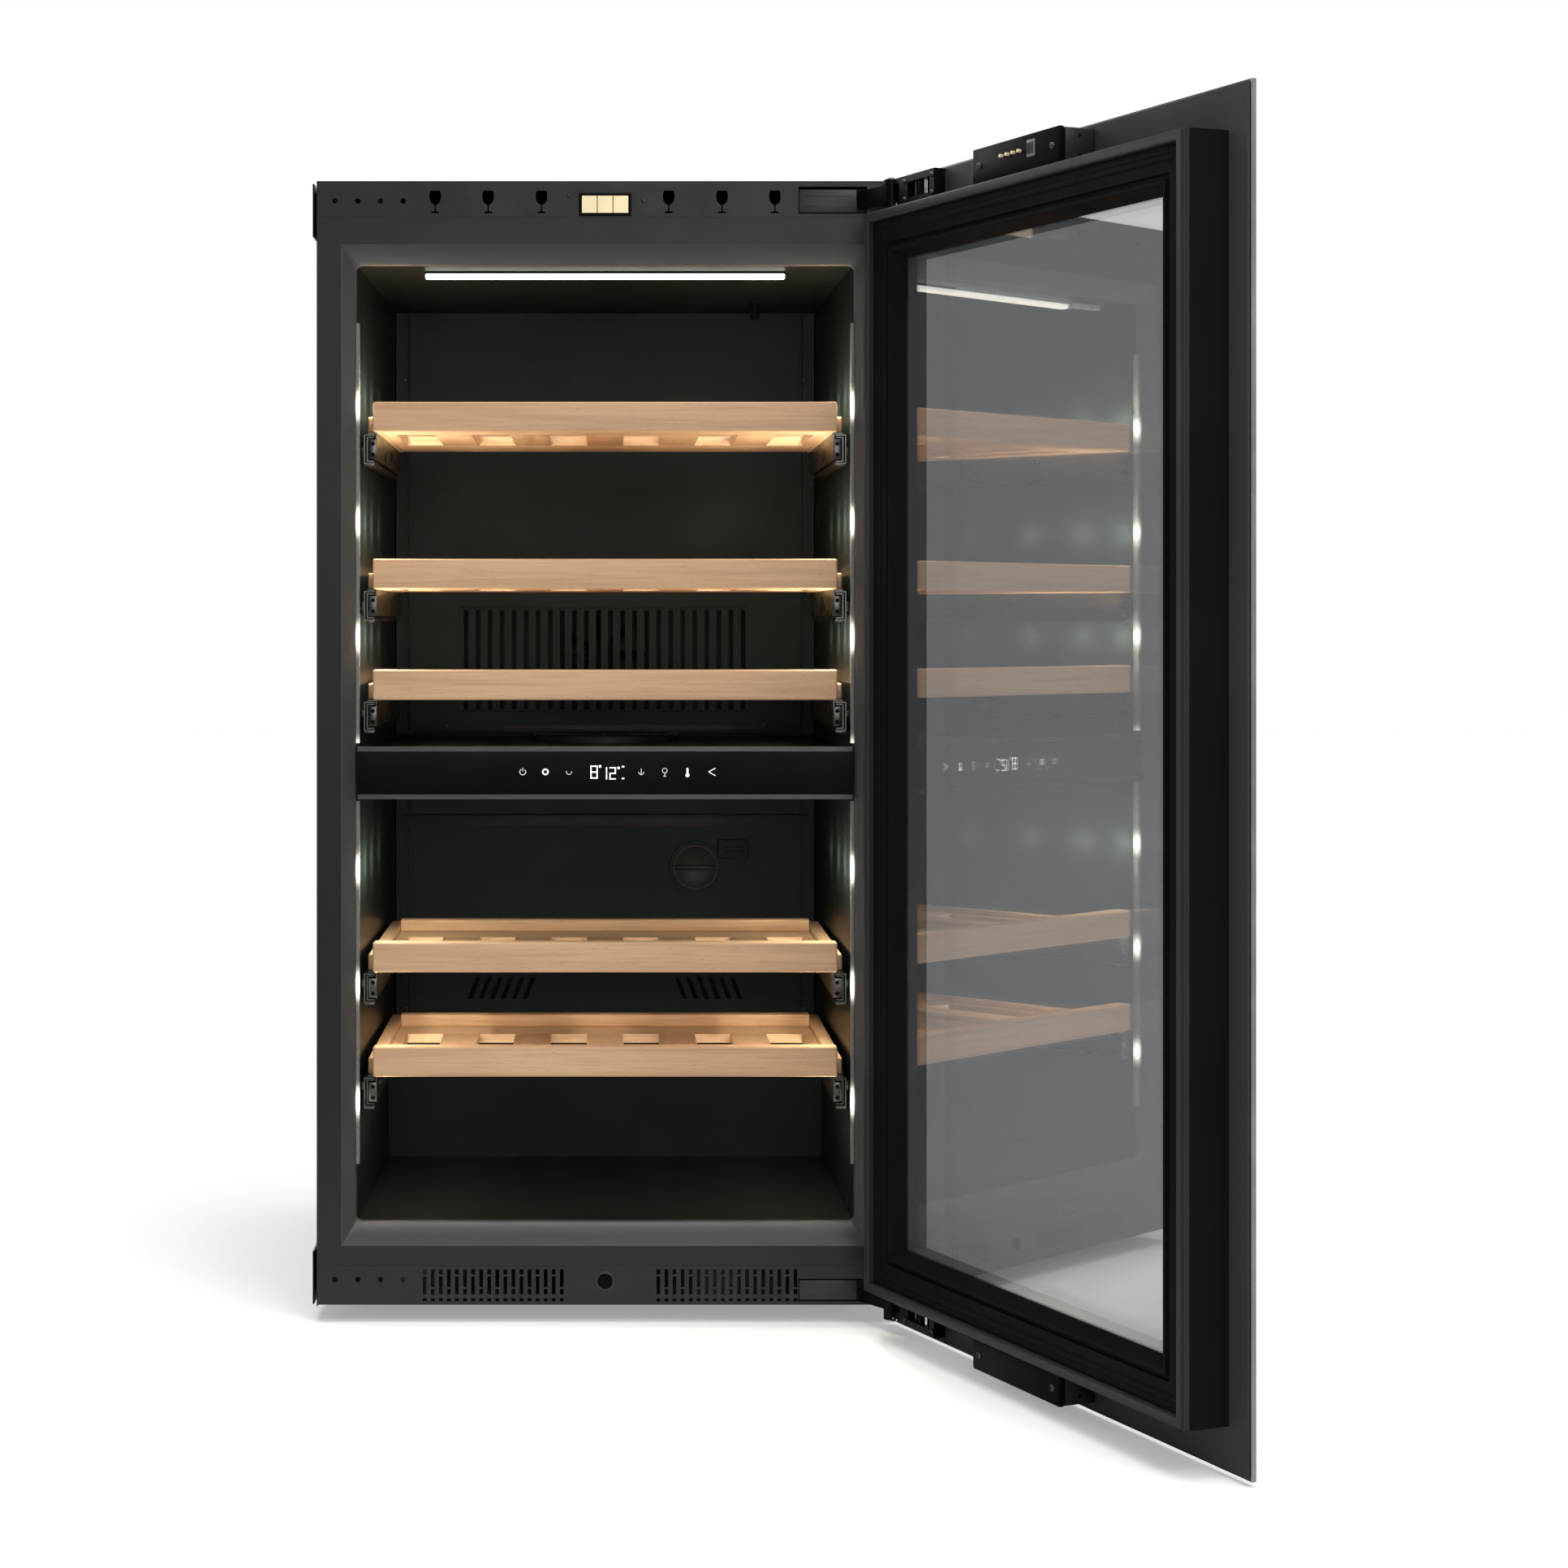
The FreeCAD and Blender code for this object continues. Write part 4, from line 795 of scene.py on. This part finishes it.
# --- inside the cabinet -----------------------------------------------------------------------
def inside_details():
    """Screws and grooves in the rear covers, the divider's fan grille, and the filter's face."""
    mesh = bmesh.new()
    screws = ((-210, 873), (209, 873), (-166, 510.5), (167, 510.5),
              (-208, 214), (208, 214), (-206, 440), (206, 440))
    for x, z in screws:
        add_screw(mesh, (x, 423.8 if abs(x) > 200 else 420.8, z), "y", 2.6, True, 0, 1)
    piece("cover_screws", mesh, "cabinet", ["dark_steel", "black"], smooth=35)

    mesh = bmesh.new()
    for side in (-1, 1):
        for low, top in ((506, 940), (197, 458)):
            x0, x1 = sorted((side * 206.0, side * 203.4))
            add_box(mesh, (x0, 421.6, low), (x1, 423.9, top), 0.6)
    add_box(mesh, (-198.6, 420.2, 503.4), (198.6, 421.4, 512.6), 0.5, material=2)
    add_box(mesh, (-211, 418.2, 406.4), (211, 419.4, 417.6), 0.5, material=2)
    for z in (526, 634):
        add_box(mesh, (-152, 422.4, z), (150, 423.9, z + 2.2), 0.5)
    add_box(mesh, (118, 418.5, 372), (150, 423.9, 392), 1.4)
    add_box(mesh, (124, 416.8, 379), (144, 418.6, 385), 0.8, material=1)
    piece("cover_ribs", mesh, "cabinet", ["cover", "liner", "trim"], smooth=35)

    mesh = bmesh.new()
    middle, base_z, top_z = 325, 504.55, 506.3  # the grille's y, its underside and its top
    section = [(0, 0), (0, 0.9), (1, 1.3), (3.4, 1.3), (4.4, 0.9), (4.4, 0), (0, 0)]
    for radius in (16, 26, 36, 46, 56, 66):
        ridge = [(radius + across, height) for across, height in section]
        add_lathe(mesh, (0, middle, base_z), "z", ridge, 64)
    spokes, hub, reach = 12, 14, 72
    for k in range(spokes):
        a = 2 * pi * k / spokes
        outward, across = Vector((cos(a), sin(a))), Vector((-sin(a), cos(a)))
        start, end = hub * outward, reach * outward
        base = [start - across, end - across, end + across, start + across]
        lower = [mesh.verts.new(at(v.x, middle + v.y, base_z)) for v in base]
        upper = [mesh.verts.new(at(v.x, middle + v.y, top_z)) for v in base]
        mesh.faces.new(lower[::-1])
        mesh.faces.new(upper)
        for n in range(4):
            mesh.faces.new((lower[n], lower[(n + 1) % 4], upper[(n + 1) % 4], upper[n]))
    piece("fan_grille", mesh, "cabinet", ["liner"], smooth=35)

    mesh = bmesh.new()
    face = [(0, 0), (24.6, 0), (24.6, 0.5), (23.8, 0.9), (21.4, 0.9), (20.6, 0.4), (0, 0.4)]
    add_lathe(mesh, (94.7, 418.98, 363), "y", face, 48, 0, True)
    add_box(mesh, (74.9, 414.4, 360.6), (114.5, 418.4, 365.4), 1.2)
    piece("filter_face", mesh, "cabinet", ["trim"], smooth=35)


def ceiling_lamp():
    """The lamp's bezel against the ceiling, with a narrow lens under it."""
    mesh = bmesh.new()
    add_box(mesh, (-167, 58, 941.4), (167, 70, 943), 0.3, material=1)
    add_box(mesh, (-166.4, 59.2, 936.5), (166.4, 69.2, 941.6), 1.6, 3, material=0)
    made = piece("ceiling_lens", mesh, "cabinet", ["lamp", "black"], smooth=40)
    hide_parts("ceiling_light")


ceiling_lamp()
inside_details()


def slide_details():
    """Rivets and front stops on the fixed channels."""
    mesh = bmesh.new()
    dome = [(3.2, 0), (3.2, 0.2), (2.2, 0.5), (0, 0.55)]
    tip = [(0.7, 0), (0.7, 0.3), (0, 0.4)]
    for level in LEVELS:
        stop = level - 30.55
        for side in (-1, 1):
            for y in (60, 315):
                add_lathe(mesh, (side * 219.05, y, level - SLIDE_DROP), "x", dome, 18, 0, side > 0)
            left, right = sorted((side * 210.6, side * 220.0))
            add_box(mesh, (left, 24.2, stop), (right, 34, stop + 1.8), 0.5)
            add_lathe(mesh, (side * 215.5, 24.1, stop + 0.9), "y", tip, 10, 0, True)
    piece("slide_rivets", mesh, "cabinet", ["zinc"], smooth=35)


slide_details()


# --- outside of the cabinet -------------------------------------------------------------------
def outside_details():
    """Flush screws round the back panel and a blank rating plate on it."""
    mesh = bmesh.new()
    places = [(x, z) for z in (12, 1006) for x in (-240, -120, 0, 120, 240)]
    places += [(x, z) for x in (-252, 252) for z in (180, 350, 520, 690, 860)]
    head = [(4.2, 0), (4.2, 0.104), (3.6, 0.112), (0, 0.112)]
    for x, z in places:
        add_lathe(mesh, (x, 539.9, z), "y", head, 20, 0)
        # the crosses in the steel heads are dark boxes: painted shade of the screws' recesses
        for long_way, across in ((2.4, 0.5), (0.5, 2.4)):
            near = (x - long_way, 539.95, z - across)
            add_box(mesh, near, (x + long_way, 540.016, z + across), material=1)
    add_box(mesh, (-60, 539.9, 250), (60, 540.01, 320), material=2)
    piece("back_screws", mesh, "cabinet", ["steel", "black", "aluminium"], smooth=35)


outside_details()


# --- lamps ------------------------------------------------------------------------------------
def lamp(name, kind, place, energy, colour, aim=None, hidden=False, **settings):
    """A lamp aimed at a point; a hidden one doesn't show in reflections or through glass."""
    data = bpy.data.lights.new(name, kind)
    data.energy = energy
    data.color = colour
    for key, value in settings.items():
        setattr(data, key, value)
    made = bpy.data.objects.new(name, data)
    made.location = place
    if aim is not None:
        made.rotation_euler = (Vector(aim) - Vector(place)).to_track_quat("-Z", "Y").to_euler()
    made.visible_glossy = not hidden
    made.visible_transmission = not hidden
    bpy.context.scene.collection.objects.link(made)


def cabinet_lamps():
    """Hidden lamps by the strips' spots, under the ceiling, and between the shelves."""
    heights = [SPOT_TOP - SPOT_STEP * k for k in range(7) if k != 3]
    settings = {"hidden": True, "shadow_soft_size": 0.006}
    for side in (-1, 1):
        for k, height in enumerate(heights):
            z = height + 10 if k == 0 else height  # the highest is clear of the first shelf
            for y, energy in ((34, 0.50), (85, 0.34), (150, 0.18), (230, 0.06)):
                place, name = at(side * 208, y, z), f"spot_{side}_{k}_{y}"
                lamp(name, "POINT", place, energy, (1, 0.99, 0.84), **settings)
    place = at(0, 64, 934)
    settings = {"hidden": True, "shape": "RECTANGLE", "size": 0.33, "size_y": 0.008}
    lamp("ceiling_lamp_light", "AREA", place, 0.5, (1, 0.99, 0.88), at(0, 120, 0), **settings)
    settings = {"hidden": True, "shape": "RECTANGLE", "size": 0.40, "size_y": 0.012}
    for height, energy in ((620, 0.12), (528, 0.3), (275, 0.1), (130, 0.12)):
        place, aim = at(0, 40, height), at(0, 400, height - 30)
        lamp(f"glow_{height}", "AREA", place, energy, (1, 1, 0.86), aim, **settings)


cabinet_lamps()


# --- camera, studio ---------------------------------------------------------------------------
REAR_GLOW, FRONT_GLOW, AMBIENT = 1.6, 0.06, 0.3  # the sky's strength for gloss, and for light


def sky():
    """White behind the cooler; dimmer as light and in reflections, brighter at its back."""
    world = bpy.data.worlds.new("studio")
    world.use_nodes = True
    tree = world.node_tree
    background = tree.nodes["Background"]
    background.inputs["Color"].default_value = (1.0, 1.0, 1.0, 1)
    path = tree.nodes.new("ShaderNodeLightPath").outputs
    split = tree.nodes.new("ShaderNodeSeparateXYZ")
    tree.links.new(tree.nodes.new("ShaderNodeTexCoord").outputs["Generated"], split.inputs[0])

    def math(operation, a, b, clamp=False):
        made = tree.nodes.new("ShaderNodeMath")
        made.operation = operation
        made.use_clamp = clamp
        for socket, value in zip(made.inputs, (a, b)):
            if isinstance(value, float):
                socket.default_value = value
            else:
                tree.links.new(value, socket)
        return made.outputs[0]

    rear = math("MULTIPLY", math("ADD", split.outputs["Y"], -0.1), 4.0, True)
    glossy = math("ADD", math("MULTIPLY", rear, REAR_GLOW), FRONT_GLOW)
    seen = math("MAXIMUM", path["Is Camera Ray"], path["Is Transmission Ray"])
    extra = math("MULTIPLY", path["Is Glossy Ray"], math("SUBTRACT", glossy, AMBIENT))
    light = math("ADD", extra, AMBIENT)
    other = math("MULTIPLY", math("SUBTRACT", 1.0, seen), light)
    tree.links.new(math("ADD", seen, other), background.inputs["Strength"])
    bpy.context.scene.world = world


def studio():
    """The camera, the pale floor and the three studio lamps."""
    camera = bpy.data.cameras.new("camera")
    camera.sensor_width = 36
    camera.lens = 68.76
    camera.shift_x = 0.1141
    camera.shift_y = -0.1014
    camera.clip_end = 60
    view = bpy.data.objects.new("camera", camera)
    view.location = (0, -2.98, 0.6313)
    view.rotation_euler = (pi / 2, 0, 0)
    bpy.context.scene.collection.objects.link(view)
    bpy.context.scene.camera = view

    floor_mesh = bmesh.new()
    bmesh.ops.create_grid(floor_mesh, x_segments=1, y_segments=1, size=14)
    data = bpy.data.meshes.new("floor")
    floor_mesh.to_mesh(data)
    floor_mesh.free()
    floor = bpy.data.objects.new("floor", data)
    s = Shader("floor_paint", 0.9, spec=0.1)
    pale = s.ramp(s.noise(1.2, 3), [(0.3, (0.86, 0.86, 0.86)), (0.7, (0.88, 0.88, 0.88))])
    split = s.add("ShaderNodeSeparateXYZ")
    s.link(s.coords, split.inputs[0])
    ahead = s.levels(split.outputs["Y"], 1.0, 0.0, -1.4, -0.3)
    path = s.add("ShaderNodeLightPath").outputs
    # painted shade in reflections: for glossy rays only, the floor ahead of the cooler is coloured
    # near black
    shade_in_reflections = s.math("MULTIPLY", path["Is Glossy Ray"], ahead)
    s.colour(s.mix(shade_in_reflections, pale, (0.05, 0.05, 0.05)))
    seen = s.math("MAXIMUM", path["Is Camera Ray"], path["Is Transmission Ray"])
    s.set("Emission Color", (1, 1, 1, 1))
    s.link(s.math("MULTIPLY", seen, 0.3), s.bsdf.inputs["Emission Strength"])
    s.material.cycles.emission_sampling = "NONE"
    floor.data.materials.append(s.material)
    bpy.context.scene.collection.objects.link(floor)

    sky()
    bpy.context.scene.view_settings.view_transform = "Standard"
    white = (1, 1, 1)
    lamp("overhead", "SUN", (0, -0.4, 4), 1.7, white, (0, 0, 0), angle=radians(40))
    lamp("key", "AREA", (0.3, -4.1, 1.3), 21, white, (0.1, -0.2, 0.6), size=1.8)
    lamp("fill", "AREA", (1.5, -3.1, 3.1), 44, white, (0.2, -0.2, 0.5), size=1.6)


studio()
